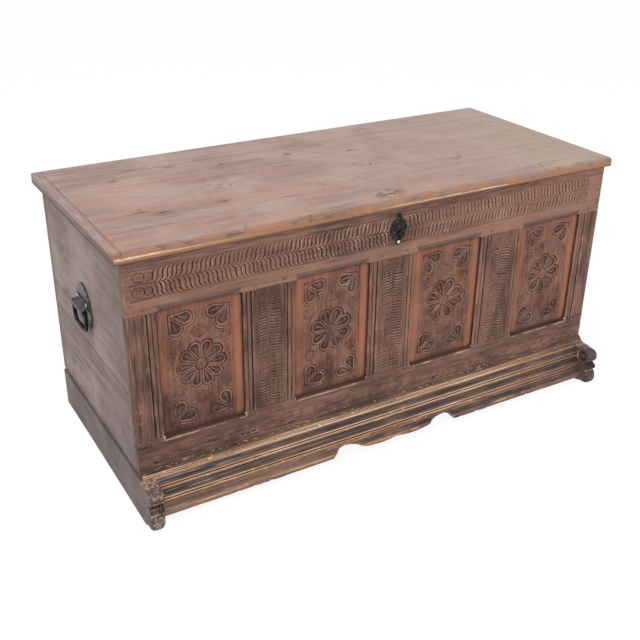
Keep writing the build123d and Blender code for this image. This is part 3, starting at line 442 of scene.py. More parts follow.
def adopt(piece, node, body, material):
    """Put a piece in a node's place."""
    piece.data.materials.clear()
    piece.data.materials.append(material)
    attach(piece, body)
    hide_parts(node)


# ---------------------------------------------------------------- carving
def lobe(a, b, centre, radius):
    """Depth inside a drop shape with its point at the origin, along a, round a circle at centre."""
    sine = radius / centre
    cosine = math.sqrt(1 - sine * sine)
    beyond = a * cosine + np.abs(b) * sine > centre * cosine
    side = a * sine - np.abs(b) * cosine
    return np.where(beyond, radius - np.hypot(a - centre, b), side)


def leaf_relief(depth, a, b, centre, length):
    """A leaf with a raised rim, a scooped hollow and a rib along its middle, around its outline."""
    scoop = ease(2.6, 7.0, depth) * (3.0 + 1.6 * ease(0.3, 1.0, a / centre))
    rib = ease(3.0, 0.8, np.abs(b)) * ease(0.36 * length, 0.5 * length, a) * ease(0.84 * length, 0.7 * length, a)
    rim = 0.5 * dent(depth - 0.6, 0.9)
    return -scoop + 3.0 * rib * ease(4.0, 7.0, depth) - rim


def rosette(u, w, petals, reach, turn):
    """A flower of hollow petals round a boss: height, and how far beyond the petals a point is."""
    half = math.pi / petals
    angle = np.arctan2(w, u) - turn
    phi = (angle + half) % (2 * half) - half
    radius = np.hypot(u, w)
    a, b = radius * np.cos(phi), radius * np.sin(phi)
    centre = reach / (1 + math.sin(half))
    depth = lobe(a, b, centre, centre * math.sin(half))
    height = leaf_relief(depth, a, b, centre, reach) - 2.4 * dent(depth, 1.0) * ease(13, 17, radius)
    outside = np.clip(-depth, 0, None)
    lee = 0.75 + 0.25 * np.cos(angle + turn - math.radians(50))
    cut = -5.4 * lee * ease(5.2 * lee, 0.8, outside)
    height = np.where(depth > 0, height, cut)
    boss = -0.6 - 1.2 * (radius / 14.5) ** 2 - 1.8 * ease(2.4, 1.2, radius)
    ring = -3.0 * dent(radius - 15.5, 1.3)
    height = np.where(radius < 14.5, boss, height) + ring * (radius >= 14.5)
    return height, outside


HEART_APEX = (4.0, 6.0)
HEART_LOBES = ((44.0, 17.0), (20.0, 43.0))
HEART_RADIUS = 17.0
HEART_BAND = 8.5
FIELD_HALF = (78.0, 146.0)


def hearts(p, q):
    """A heart of two leaves that points into a corner; p and q are distances from the two edges."""
    height, outside = 0, 1e3
    p, q = p - HEART_APEX[0], q - HEART_APEX[1]
    for centre_p, centre_q in HEART_LOBES:
        dp, dq = centre_p - HEART_APEX[0], centre_q - HEART_APEX[1]
        length = math.hypot(dp, dq)
        a, b = (p * dp + q * dq) / length, (q * dp - p * dq) / length
        depth = lobe(a, b, length, HEART_RADIUS)
        height = height + np.where(depth > 0, leaf_relief(depth, a, b, length, length + HEART_RADIUS), 0)
        outside = np.minimum(outside, np.clip(-depth, 0, None))
    height = height - 3.8 * ease(3.6, 0.6, outside) * (outside > 0)
    return height, outside


PUNCHES = [(across, side * level) for side in (1, -1) for across, level in ((0, 137), (-7, 128), (7, 128))]
PUNCHES += [(side * 71, level) for side in (-1, 1) for level in (-24, -9, 6, 21, 34)]
PUNCHES += [(side * 62, level) for side in (-1, 1) for level in (-16, 14)]


def punches(u, w):
    """Round punched dots round a panel's flower and between its hearts."""
    height = 0
    for du, dw in PUNCHES:
        height = height - 2.6 * ease(2.0, 0.7, np.hypot(u - du, w - dw))
    return height


def carve_panel(u, w, petals, turn, reach, seed):
    """The carved field of a panel about its middle: height and ground mask."""
    u = u + 0.9 * fractal(u / 35, w / 35, seed)
    w = w + 0.9 * fractal(u / 35, w / 35, seed + 4)
    noise = noise_over(u, w, seed)
    flower, beyond = rosette(u, w, petals, reach, turn)
    radius = np.hypot(u, w)
    p, q = FIELD_HALF[0] - np.abs(u), FIELD_HALF[1] - np.abs(w)
    heart, apart = hearts(p, q)
    height = np.where(radius < 70, flower, 0) + heart
    band = 2.3 * dent(apart - HEART_BAND, 1.3) * ease(78.5, 77, np.abs(u)) * ease(146.5, 145, np.abs(w))
    band = band + 1.8 * dent(radius - reach - 10, 1.3) * ease(HEART_BAND - 2, HEART_BAND, apart)
    rough = 3.0 * value_noise(u / 11, w / 11, seed + 12)
    side_disc = 17 - np.hypot(np.abs(u) - 61, 0.9 * (np.abs(w) - 59)) + rough
    end_disc = 18 - np.hypot(0.85 * u, np.abs(w) - 89) + rough
    discs = np.minimum.reduce([np.maximum(side_disc, end_disc), radius - reach - 6 + rough, apart - 6 + rough])
    ground = ease(-2.5, 4.5, discs)
    stipple = value_noise(u / 1.9, w / 1.9, seed + 9) * 0.9
    faint = unit(0.4 + 0.9 * noise(24, 24, 14))
    height = height - band * (1 - ground) * faint - ground * (1.9 - stipple)
    height = height - 0.7 * ease(-0.1, 0.5, noise(7, 8, 18)) * ease(2, 6, np.minimum(beyond, apart))
    height = height + punches(u, w)
    height = height - 0.9 * dent(np.abs(u) - 80.5, 0.9) * ease(150, 146, np.abs(w))
    inside = ease(83, 80, np.abs(u)) * ease(149, 147, np.abs(w))
    pressure = 0.95 + 0.3 * noise(34, 34, 16)
    height = np.minimum(height * pressure, 0) * np.where(inside > 0, inside, 0)
    return np.maximum(height, -6.0), ground


def scroll_row(s, t, half_width, pitch, lean, seed):
    """A row of S ribs, two to an element, across t and running along s."""
    s = s + 2.2 * value_noise(s / 26, t * 0 + seed, seed) + 0.9 * value_noise(s / 9, t / 9, seed + 2)
    tau = t / half_width
    shift = lean * (0.05 * tau + 0.27 * tau**5) * pitch
    turn = ((s - shift) / pitch) % 1.0
    deep = dent((turn + 0.5) % 1.0 - 0.5, 0.08)
    shallow = dent(turn - 0.5, 0.06)
    ribs = 1.5 * (1 - np.abs(np.sin(2 * np.pi * turn)))
    inside = ease(1.05, 0.9, np.abs(tau))
    return -(3.0 * deep + 1.8 * shallow + ribs) * inside


def loops(s, t, places, seed):
    """Larger curled ribs where a row of scrolls begins."""
    height = 0
    for ds, dt, size in places:
        radius = np.hypot(s - ds, (t - dt) * 1.15) + 0.7 * value_noise(s / 8, t / 8, seed)
        for share, depth in ((1.0, 2.8), (0.66, 1.8), (0.3, 2.4)):
            height = height - depth * dent(radius - share * size, 1.3)
    return height


# ---------------------------------------------------------------- front panels
# petals, turn and reach of each panel's flower
PANEL_FLOWERS = ((10, math.radians(0), 62.0), (8, math.radians(22.5), 60.0), (8, math.radians(22.5), 61.0),
                 (8, math.radians(0), 60.0))
MARGIN_WARMTH = ((-0.1, 0.9), (0.35, 0.8), (0.75, 0.8), (0.35, 0.8))  # left and right of each field
panel_middle = (RAIL_LOW + RAIL_HIGH) / 2

for number, (centre, flower) in enumerate(zip(PANEL_CENTRES, PANEL_FLOWERS), start=1):
    petals, turn, reach = flower
    half_width = PANEL_WIDTH / 2 + PANEL_TONGUE
    us = samples(centre - half_width, centre + half_width, 1.25)
    vs = samples(RAIL_LOW - PANEL_TONGUE, RAIL_HIGH + PANEL_TONGUE, 1.25)
    u, v = np.meshgrid(us, vs)
    local_u, local_w = u - centre, v - panel_middle
    noise = noise_over(u, v, number)
    carved, ground = carve_panel(local_u, local_w, petals, turn, reach, 40 + number)
    surface, checks = timber(u, v, 60 + number, along_u=False)
    relief = carved + surface
    field = (np.abs(local_u) < 80) * (np.abs(local_w) < 147)
    blotches = ease(0.1, 0.55, noise(9, 11, 75)) * field * (carved < -0.3)
    # darker in deep carving: painted shade; frame_shade: painted shade along the frame's edges
    cavity = unit(0.36 * ease(-1.5, -4.8, carved) + 0.08 * ground + 0.18 * blotches + checks)
    frame_shade = ease(8, 0, PANEL_WIDTH / 2 - np.abs(local_u))
    frame_shade = frame_shade + ease(10, 0, RAIL_HIGH - v) + ease(10, 0, v - RAIL_LOW)
    cavity = unit(cavity + 0.5 * frame_shade)
    left_warmth, right_warmth = MARGIN_WARMTH[number - 1]
    handled = ease(80, 92, np.abs(local_u)) * np.where(local_u < 0, left_warmth, right_warmth)
    dirty = ease(-60, -150, local_w) * 0.45
    if number == 1:
        dirty = dirty + 0.25 * ease(-40, -90, local_u) * ease(20, -60, local_w)
    patchy = noise(22, 30, 85)
    tone = 0.8 * handled - dirty + 0.25 * noise(50, 90, 80) + 0.3 * patchy + 0.08
    tone = tone - 0.12 * ease(82, 76, np.abs(local_u)) * ease(150, 140, np.abs(local_w))
    # painted reflection in the carved hollows (sheen), a grey cast over the field, painted highlights in patches on
    # crests; crests are also paler: worn wood and painted highlight
    sheen = ease(-0.1, 0.5, noise(15, 13, 95)) * ease(-1.0, -3.0, carved)
    crest = ease(-1.2, -0.2, carved) * ease(0.15, 0.5, slope(carved))
    highlight_patches = ease(-0.2, 0.4, noise(14, 14, 98))
    bloom_and_sheen = 0.4 * sheen * (1 - ground) + 0.26 * field * (0.6 + patchy) + 0.3 * crest * highlight_patches
    wear = unit(0.35 * crest * (0.5 + 1.4 * noise(20, 20, 90)))
    piece = slab(
        f"front_panel_{number}_carved", FRONT_VIEW, us, vs, -FRONT - PANEL_SETBACK, PANEL_THICKNESS, relief,
        {"cavity": cavity, "tone": tone, "wear": wear, "bloom_and_sheen": bloom_and_sheen},
    )
    adopt(piece, f"front_panel_{number}", "case", panel_wood)


# ---------------------------------------------------------------- rails, stiles and muntins
def reeded(distance):
    """Two reeds, a quirk and a thin bead beside a panel."""
    reeds = 0.8 + 3.4 * (1 - np.sqrt(unit(1 - ((distance % 10.5) / 5.25 - 1) ** 2)))
    quirk = 4.6 * ease(20.4, 21.4, distance) * ease(24.4, 23.4, distance)
    bead = 0.9 * dent(distance - 31.5, 0.9)
    return -np.where(distance < 21, reeds, quirk + bead)


def front_piece(name, us, vs, relief, tone, seed, material, radius=1.2, along_u=False, chips=1.0, bloom_and_sheen=0.0,
                rim_wear=0.8, recess_shade=0.0, crests=0.6):
    """A member of the front frame with a modelled face."""
    u, v, rim_u, rim_v = fields(us, vs)
    drop, wear = worn_rim(u, v, rim_u, rim_v, radius, seed, chips)
    surface, checks = timber(u, v, seed, along_u)
    # Paler crests: worn wood and painted highlight. Darker in deep carving: painted shade. The caller's recess mask
    # adds painted shade and keeps worn colour off.
    crest = ease(-1.3, -0.3, relief) * ease(0.12, 0.5, slope(relief))
    crest = crests * crest * (0.55 + 1.2 * fractal(u / 30, v / 30, seed + 21))
    wear = unit(rim_wear * wear + crest) * (1 - recess_shade)
    cavity = unit(0.45 * ease(-1.5, -5.0, relief) + checks + recess_shade)
    piece = slab(
        f"{name}_carved", FRONT_VIEW, us, vs, -FRONT, FRAME_THICKNESS, relief + surface - drop,
        {"cavity": cavity, "tone": tone, "wear": wear, "bloom_and_sheen": bloom_and_sheen + 0 * u},
    )
    adopt(piece, name, "case", material)


MUNTIN_CURLS = [(497, -17, 15), (492, 17, 13), (474, 19, 11), (478, -17, 11)]  # level, place across, size
MUNTIN_ROW = 17.0
for number, centre in enumerate(MUNTIN_CENTRES, start=1):
    us = samples(centre - MUNTIN_WIDTH / 2, centre + MUNTIN_WIDTH / 2, 1.1)
    vs = samples(RAIL_LOW, RAIL_HIGH, 1.2)
    u, v, rim_u, rim_v = fields(us, vs)
    noise = noise_over(u, v, number)
    relief = reeded(rim_u)
    local = u - centre
    run = ease(212, 220, v) * ease(512, 502, v)
    for column, lean in ((-1, 1), (1, -1)):
        row = scroll_row(v, local - column * MUNTIN_ROW, 15.5, 15.5, lean * 0.9, 130 + 7 * number + column)
        relief = relief + row * run * (0.75 + 0.5 * noise(9, 9, 135)) * ease(504, 484, v)
    relief = relief + loops(v, local, MUNTIN_CURLS, 140 + number) * 0.55
    relief = relief - 1.2 * dent(local + 1.5 * fractal(v / 40, v / 40, 137 + number), 1.2) * run
    relief = relief * np.where(rim_u > 30, 0.8 + 0.35 * noise(60, 60, 150), 1)
    relief = np.minimum(relief, 0)
    tone = 0.35 * noise(30, 80, 160) + 0.3 * (rim_u < 21) - 0.16
    tone = tone - (0.32 if number == 1 else 0.1)
    front_piece(f"front_muntin_{number}", us, vs, relief, tone, 170 + number, post_wood, chips=0.0, rim_wear=0.15,
                crests=0.25)

for side, name in ((-1, "front_stile_left"), (1, "front_stile_right")):
    inner, outer = side * (SIDE - STILE_WIDTH), side * SIDE
    us = samples(min(inner, outer), max(inner, outer), 1.3)
    vs = samples(RAIL_LOW, RAIL_HIGH, 1.6)
    u, v, rim_u, rim_v = fields(us, vs)
    noise = noise_over(u, v, side)
    gap = np.abs(u - inner)
    relief = np.where(gap < 40, reeded(gap), 0)
    tone = 0.5 * noise(25, 90, 181) + 0.2 * (gap < 21)
    pale = 0.6 * ease(0.25, 0.6, noise(12, 16, 185)) * ease(44, 50, gap) * ease(460, 400, v)
    front_piece(name, us, vs, relief, tone + pale - 0.15, 190 + side, post_wood, 1.8, chips=0.0, rim_wear=0.2)


def near_panels(u):
    """How far inside the nearest panel's width a place is; below 0 beside it."""
    return PANEL_WIDTH / 2 - np.min([np.abs(u - centre) for centre in PANEL_CENTRES], axis=0)


CHAMFER = 11.0
TOP_CHAMFER = 17.0
FRIEZE_TOP = 635.0
FRIEZE_FOOT = 565.5
SCROLL_LEVELS = (618.0, 583.0)
SCROLL_PITCH = 22.5
FRIEZE_CURLS = [(-664, 618, 13), (-641, 617, 10), (-666, 583, 14), (-642, 582, 10), (636, 618, 12), (634, 583, 12)]
us = samples(-SIDE, SIDE, 1.25)
vs = samples(RAIL_HIGH, CASE_TOP, 1.15)
u, v, rim_u, rim_v = fields(us, vs)
noise = noise_over(u, v)
chamfer = 0.6 * np.clip(np.minimum(TOP_CHAMFER - (v - RAIL_HIGH), near_panels(u)), 0, None)
run = ease(-688, -684, u) * ease(652, 648, u)
near_lock = 0.25 + 0.75 * ease(24, 36, np.abs(u - LOCK_X))
mirror = np.where(u < LOCK_X, 1.0, -1.0)
upper = scroll_row(u, v - SCROLL_LEVELS[0], 15.0, SCROLL_PITCH, mirror, 210)
lower = scroll_row(u + 7, v - SCROLL_LEVELS[1], 16.0, SCROLL_PITCH, -mirror, 220)
scrolls = (upper + lower) * ease(-640, -628, u) * ease(636, 622, u) * near_lock
ends = loops(u, v, FRIEZE_CURLS, 230)
frieze = scrolls + ends * 0.9 - 2.2 * dent(v - 601, 1.4) * near_lock
frieze = (frieze - 1.7 * dent(v - FRIEZE_TOP, 1.2) - 1.7 * dent(v - FRIEZE_FOOT, 1.2)) * run
frieze = frieze * (0.85 + 0.3 * noise(120, 60, 240))
keyhole = ease(5.6, 4.6, np.hypot(u - LOCK_X, v - KEYHOLE_LEVEL))
below_eye = KEYHOLE_LEVEL - v
keyhole = np.maximum(keyhole, ease(3.4, 2.6, np.abs(u - LOCK_X)) * (below_eye > 0) * (below_eye < KEYHOLE_DEPTH))
relief = np.minimum(frieze, 0) - chamfer - 22 * keyhole
# painted shade inside the keyhole and its slot
keyhole_shade = ease(9, 7, np.hypot(u - LOCK_X, v - KEYHOLE_LEVEL))
keyhole_shade = np.maximum(keyhole_shade, ease(7, 5, np.abs(u - LOCK_X)) * (below_eye > 0) * (below_eye < KEYHOLE_DEPTH + 4))
iron_stain = ease(75, 20, np.hypot((u - LOCK_X) * 0.8, v - 600))
carved_zone = ease(FRIEZE_FOOT - 2, FRIEZE_FOOT + 2, v) * ease(FRIEZE_TOP + 2, FRIEZE_TOP - 2, v)
tone = 0.35 * noise(160, 18, 250) + 0.6 * ease(566, 560, v) - 0.6 * iron_stain
tone = tone + carved_zone * (0.2 + 0.35 * noise(120, 60, 252) + 0.35 * ease(-100, 350, u))
# painted reflection: grey on the chamfers above the panels
chamfer_reflection = 0.8 * ease(0.3, 2.0, chamfer)
front_piece("front_top_rail", us, vs, relief, tone, 260, rail_wood, 1.2, True, 0.6, bloom_and_sheen=chamfer_reflection, recess_shade=keyhole_shade,
            crests=0.42)

us = samples(-SIDE, SIDE, 2.4)
vs = samples(RUNNER_TOP, RAIL_LOW, 1.8)
u, v, rim_u, rim_v = fields(us, vs)
noise = noise_over(u, v)
slope_down = np.clip(np.minimum(CHAMFER - (RAIL_LOW - v), near_panels(u)), 0, None)
relief = -slope_down
nicks = ease(0.45, 0.7, noise(22, 9, 300)) * ease(170, 140, v)
tone = 0.25 * noise(150, 14, 270) - 0.3 + 0.4 * noise(14, 9, 272) * ease(190, 150, v)
# painted shade on the chamfers under the panels
front_piece("front_bottom_rail", us, vs, relief - 1.5 * nicks, tone, 280, rail_wood, 1.2, True, 1.2,
            rim_wear=0.25, recess_shade=0.5 * ease(0.5, 4.0, slope_down))


# ---------------------------------------------------------------- sides
def side_board(name, view, levels, seed):
    """One board of a side, running from the front frame to the back boards."""
    spread = sorted(view[0][1] * y for y in (FRAME_BACK, BACK_INSIDE))
    us = samples(*spread, 4.0, 10.0, 1.6)
    vs = samples(*levels, 3.0, 10.0, 1.4)
    u, v, rim_u, rim_v = fields(us, vs)
    drop, wear = worn_rim(u, v, rim_u, rim_v, 1.6, seed)
    surface, checks = timber(u, v, seed, depth=0.7)
    noise = noise_over(u, v, seed)
    y = u * view[0][1]
    joint = ease(2.6, 0.8, np.abs(v - SIDE_JOINT))
    rub = 0.5 * ease(0.25, 0.7, noise(120, 12, 30))
    # painted shadow cast by the handle, below it and towards the front
    handle_shadow = 0.45 * ease(62, 30, np.hypot(1.1 * (y - HANDLE_Y + 16), v - HANDLE_LEVEL + 22))
    tone = 0.35 * noise(240, 30, 31) + rub * 0.4 - handle_shadow - 0.28 * ease(-80, -240, y)
    tone = tone - 0.12 * (v < SIDE_JOINT)
    brown = 0.5 * ease(0.0, 0.5, noise(90, 70, 33))
    wear = wear * (1 - joint) * ease(0, 14, rim_u) + brown
    piece = slab(
        f"{name}_worn", view, us, vs, SIDE, SIDE_THICKNESS, surface - drop,
        {"cavity": unit(checks + joint), "tone": tone, "wear": 0.75 * wear, "bloom_and_sheen": 0.4 * ease(-150, -225, y)},
    )
    adopt(piece, name, "case", side_wood)


for view, end, seed in ((LEFT_VIEW, "left", 310), (RIGHT_VIEW, "right", 350)):
    side_board(f"side_board_{end}_lower", view, (RUNNER_TOP, SIDE_JOINT), seed)
    side_board(f"side_board_{end}_upper", view, (SIDE_JOINT, CASE_TOP), seed + 20)

# ---------------------------------------------------------------- lid
EDGE_RUN = 13.0
EDGE_DROPS = ((-LID_SIDE, 0, LID_SIDE), (13.0, 17.5, 20.0))  # the worked edge falls further towards the right
CORNER = 6.0
LID_KNOTS = ((-534, -84, 9), (-372, -78, 7), (-393, 225, 5), (-560, 180, 5), (111, 128, 4))  # place and size
# scratches and smears: place and reach
LID_SCRATCHES = ((-560, -78, 70), (-390, -80, 55), (6, -215, 60), (-110, -92, 30), (300, -80, 60))
LID_SMEARS = ((-575, -62, 34), (-530, -84, 26), (-385, -78, 30), (-110, -92, 16))
BURN = (5, -225)  # the scorched place at the front edge


def lid_bend(u, v):
    """Round the lid's two front corners in plan."""
    for corner_u in (-LID_SIDE, LID_SIDE):
        inward = -math.copysign(1, corner_u)
        a = 1 - (u - corner_u) * inward / CORNER
        b = 1 - (v - LID_FRONT) / CORNER
        mask = (a > 0) & (b > 0) & (a <= 1.001) & (b <= 1.001)
        a, b = unit(a), unit(b)
        new_a, new_b = a * np.sqrt(1 - b * b / 2), b * np.sqrt(1 - a * a / 2)
        u = np.where(mask, corner_u + inward * CORNER * (1 - new_a), u)
        v = np.where(mask, LID_FRONT + CORNER * (1 - new_b), v)
    return u, v


def lid_edge(u, v):
    """The lid's edge: its drop, its share of the worked band, and its painted highlight along the arris."""
    noise = noise_over(u, v)
    deepest = np.interp(u, *EDGE_DROPS) + 0.8 * noise(90, 90, 402)
    to_front, to_right, to_left = (np.clip(gap, 0, None) for gap in (v - LID_FRONT, LID_SIDE - u, u + LID_SIDE))
    run = EDGE_RUN * (1 + 0.12 * noise(70, 70, 400))
    front, right = (
        deepest * (1 - np.sqrt(unit(1 - unit(1 - gap / run) ** 2.6))) for gap in (to_front, to_right)
    )
    left = 3.0 * (1 - np.sqrt(unit(1 - unit(1 - to_left / 3.5) ** 2)))
    drop = np.maximum(front, right)
    ragged = EDGE_RUN - 3.0 + 3.5 * noise(35, 35, 406)
    band = np.maximum(ease(2, -8, to_front - ragged), ease(2, -8, to_right - ragged))
    # painted highlight along the arris: strong at the left end and between about -40 and 300 mm, fainter elsewhere
    bright = ease(-560, -600, u) + ease(-110, -40, u) * ease(380, 300, u) + 0.35
    arris = ease(4.6, 2.2, deepest - front) * bright * (0.9 + 0.5 * noise(40, 4, 404))
    return np.maximum(drop, left), band, np.clip(arris, 0, 1.2) * (1 - 0.12 * ease(-300, -600, u))


def lid_piece(name, us, vs, seed, material, strip=False):
    """A board of the lid with its share of the worked edge."""
    u, v = lid_bend(*np.meshgrid(us, vs))
    noise = noise_over(u, v, seed)
    drop, band, arris = lid_edge(u, v)
    surface, checks = timber(u, v, seed, not strip, 0.5)
    seam = 0.9 * ease(1.6, 0, np.abs(u - LID_STRIP))
    if not strip:
        seam = 0.9 * ease(1.6, 0, np.abs(v - LID_SEAM)) + seam
    knots, rings = 0, 0
    for knot_u, knot_v, size in LID_KNOTS:
        radius = np.hypot((u - knot_u) / 1.6, v - knot_v) + 1.5 * value_noise(u / 9, v / 9, seed + 2)
        knots = knots + ease(size, size * 0.4, radius)
        rings = rings + dent(radius - size * 1.25, 1.6) + 0.6 * dent(radius - size * 1.9, 1.8)
    lines = dent(value_noise(u / 55, v / 11, seed + 6) - 0.1, 0.022)
    nearby = 0
    for mark_u, mark_v, reach in LID_SCRATCHES:
        nearby = nearby + ease(reach, 0.4 * reach, np.hypot(u - mark_u, 1.6 * (v - mark_v)))
    scratch = lines * unit(nearby + ease(0.4, 0.65, value_noise(u / 80, v / 60, seed + 8)))
    burn = 0.9 * ease(46, 14, np.hypot(0.7 * (u - BURN[0]), v - BURN[1])) * ease(-0.35, 0.2, noise(16, 5, 9))
    for mark_u, mark_v, reach in LID_SMEARS:
        smear = ease(reach, 0.3 * reach, np.hypot(u - mark_u, 3 * (v - mark_v + 0.2 * (u - mark_u))))
        burn = burn + 0.6 * smear * ease(-0.35, 0.2, noise(12, 3, 10))
    relief = -drop + surface - seam - 0.5 * knots - 0.3 * rings - 0.5 * scratch
    mottle = 0.5 * noise(45, 25, 12) + 0.7 * noise(22, 2.2, 13)
    honeyed = ease(-0.15, 0.45, noise(150, 60, 16) + 0.3 * ease(150, -200, v)) * ease(420, 150, u)
    # the arris share is a painted highlight along the front arris; the band and honeyed patches are the wood's own
    # colour
    wear = band * unit(0.52 + 0.4 * mottle) + arris + 0.5 * honeyed * (1 - band)
    cavity = unit(0.8 * knots + 0.4 * rings + checks + 0.95 * scratch + 0.45 * seam + burn)
    under = dent(np.minimum(v - LID_FRONT, LID_SIDE - u) - EDGE_RUN + 2, 2.0)
    cavity = cavity + 0.35 * under * ease(-0.3, 0.3, fractal(u / 40, v / 9, 408))
    grubby = band * (0.5 + 0.3 * ease(0.0, 0.5, -mottle)) * (0.7 + 0.3 * ease(0, -500, u))
    cavity = unit(cavity + grubby) * (1 - unit(arris))
    # lighter towards the right: painted sheen; the olive share: painted olive reflection on the right end
    tone = 0.28 * noise(260, 22, 14) + 0.35 * ease(-200, 300, u)
    olive_sheen = 0.55 * ease(330, 640, u) * ease(0, 0.5, 0.3 + noise(160, 60, 18))
    in_strip = ease(LID_STRIP, LID_STRIP - 4, u)
    bloom_and_sheen = (olive_sheen + 0.65 * in_strip) * (1 - band)
    piece = slab(
        f"{name}_worn", TOP_VIEW, us, vs, CHEST_TOP, LID_THICKNESS, relief,
        {"cavity": cavity, "tone": tone - 0.4 * in_strip, "wear": wear, "bloom_and_sheen": bloom_and_sheen},
        # painted shade on the lid's edge walls, dark towards the underside
        bend=lid_bend, crisp=0.0, underside_shade=1.0,
    )
    adopt(piece, name, "lid", material)


FINE = 16.0  # the width of the finer mesh along the worked edge
to_arris = np.concatenate([np.linspace(0, 3, 9)[:-1], np.linspace(3, FINE, 11)[:-1]])
board_us = np.concatenate([samples(LID_STRIP, LID_SIDE - FINE, 4.0), LID_SIDE - to_arris[::-1]])
front_vs = np.concatenate([LID_FRONT + to_arris, samples(LID_FRONT + FINE, LID_SEAM, 3.2)])
back_vs = samples(LID_SEAM, LID_BACK, 3.2)
strip_us = np.concatenate([-LID_SIDE + np.linspace(0, 4, 9)[:-1], np.linspace(-LID_SIDE + 4, LID_STRIP, 10)])
strip_vs = np.concatenate([LID_FRONT + to_arris, samples(LID_FRONT + FINE, LID_BACK, 3.2)])
lid_piece("lid_front_board", board_us, front_vs, 410, lid_wood)
lid_piece("lid_back_board", board_us, back_vs, 430, lid_wood)
lid_piece("lid_end_moulding_left", strip_us, strip_vs, 450, lid_strip_wood, strip=True)


# ---------------------------------------------------------------- plinth mouldings
def run_lengths(points):
    """How far along a line each of its points is."""
    return np.concatenate([[0], np.cumsum(np.linalg.norm(np.diff(points, axis=0), axis=1))])


def arc_through(start, middle, end, count):
    """Points on the arc through three points."""
    (ax, ay), (bx, by), (cx, cy) = start, middle, end
    d = 2 * (ax * (by - cy) + bx * (cy - ay) + cx * (ay - by))
    a2, b2, c2 = ax * ax + ay * ay, bx * bx + by * by, cx * cx + cy * cy
    ox = (a2 * (by - cy) + b2 * (cy - ay) + c2 * (ay - by)) / d
    oy = (a2 * (cx - bx) + b2 * (ax - cx) + c2 * (bx - ax)) / d
    first, mid, last = (math.atan2(y - oy, x - ox) for x, y in (start, middle, end))
    mid = first + (mid - first) % (2 * math.pi)
    last = first + (last - first) % (2 * math.pi)
    if mid > last:
        last -= 2 * math.pi
    angles = np.linspace(first, last, count)
    radius = math.hypot(ax - ox, ay - oy)
    return [(ox + radius * math.cos(t), oy + radius * math.sin(t)) for t in angles]


def profile_points(places):
    """A profile as points, and how near each is to an arris and to a hollow corner.

    A place is (distance in front of the body, height); four numbers are an arc's middle and end.
    """
    joints = [[(FRONT - ahead, level) for ahead, level in zip(place[::2], place[1::2])] for place in places]
    points, corners, heading = joints[0], {True: [], False: []}, None
    for before, ends in zip(joints, joints[1:]):
        first, last = before[-1], ends[-1]
        count = max(3, int(math.dist(first, last)) + 2)
        if len(ends) == 2:
            run = arc_through(first, *ends, count)
        else:
            run = [tuple(np.array(first) * (1 - t) + np.array(last) * t) for t in np.linspace(0, 1, count)]
        start = np.subtract(run[1], run[0])
        if heading is not None:
            corners[bool(heading[0] * start[1] - heading[1] * start[0] < 0)].append(run[0])
        heading = np.subtract(run[-1], run[-2])
        points = points + run[1:]
    points = np.array(points)
    gaps = []
    for kind in (True, False):
        hard = np.array(corners[kind] or [(0.0, 999.0)])
        gaps.append(np.linalg.norm(points[:, None] - hard[None], axis=2).min(1))
    return points, *gaps


def bow_level(x):
    """The lower edge of the apron along its length, with its double-ogee bow."""
    outline = [(0, 28)]
    joints = [(0, 28), (50, 21), (104, 29), (132, 40), (158, 44), (181, 37), (197, 18)]
    for start in (0, 2, 4):
        outline += arc_through(*joints[start : start + 3], 14)[1:]
    outline = np.array(outline)
    return np.interp(np.abs(x), outline[:, 0], outline[:, 1], right=18.0)


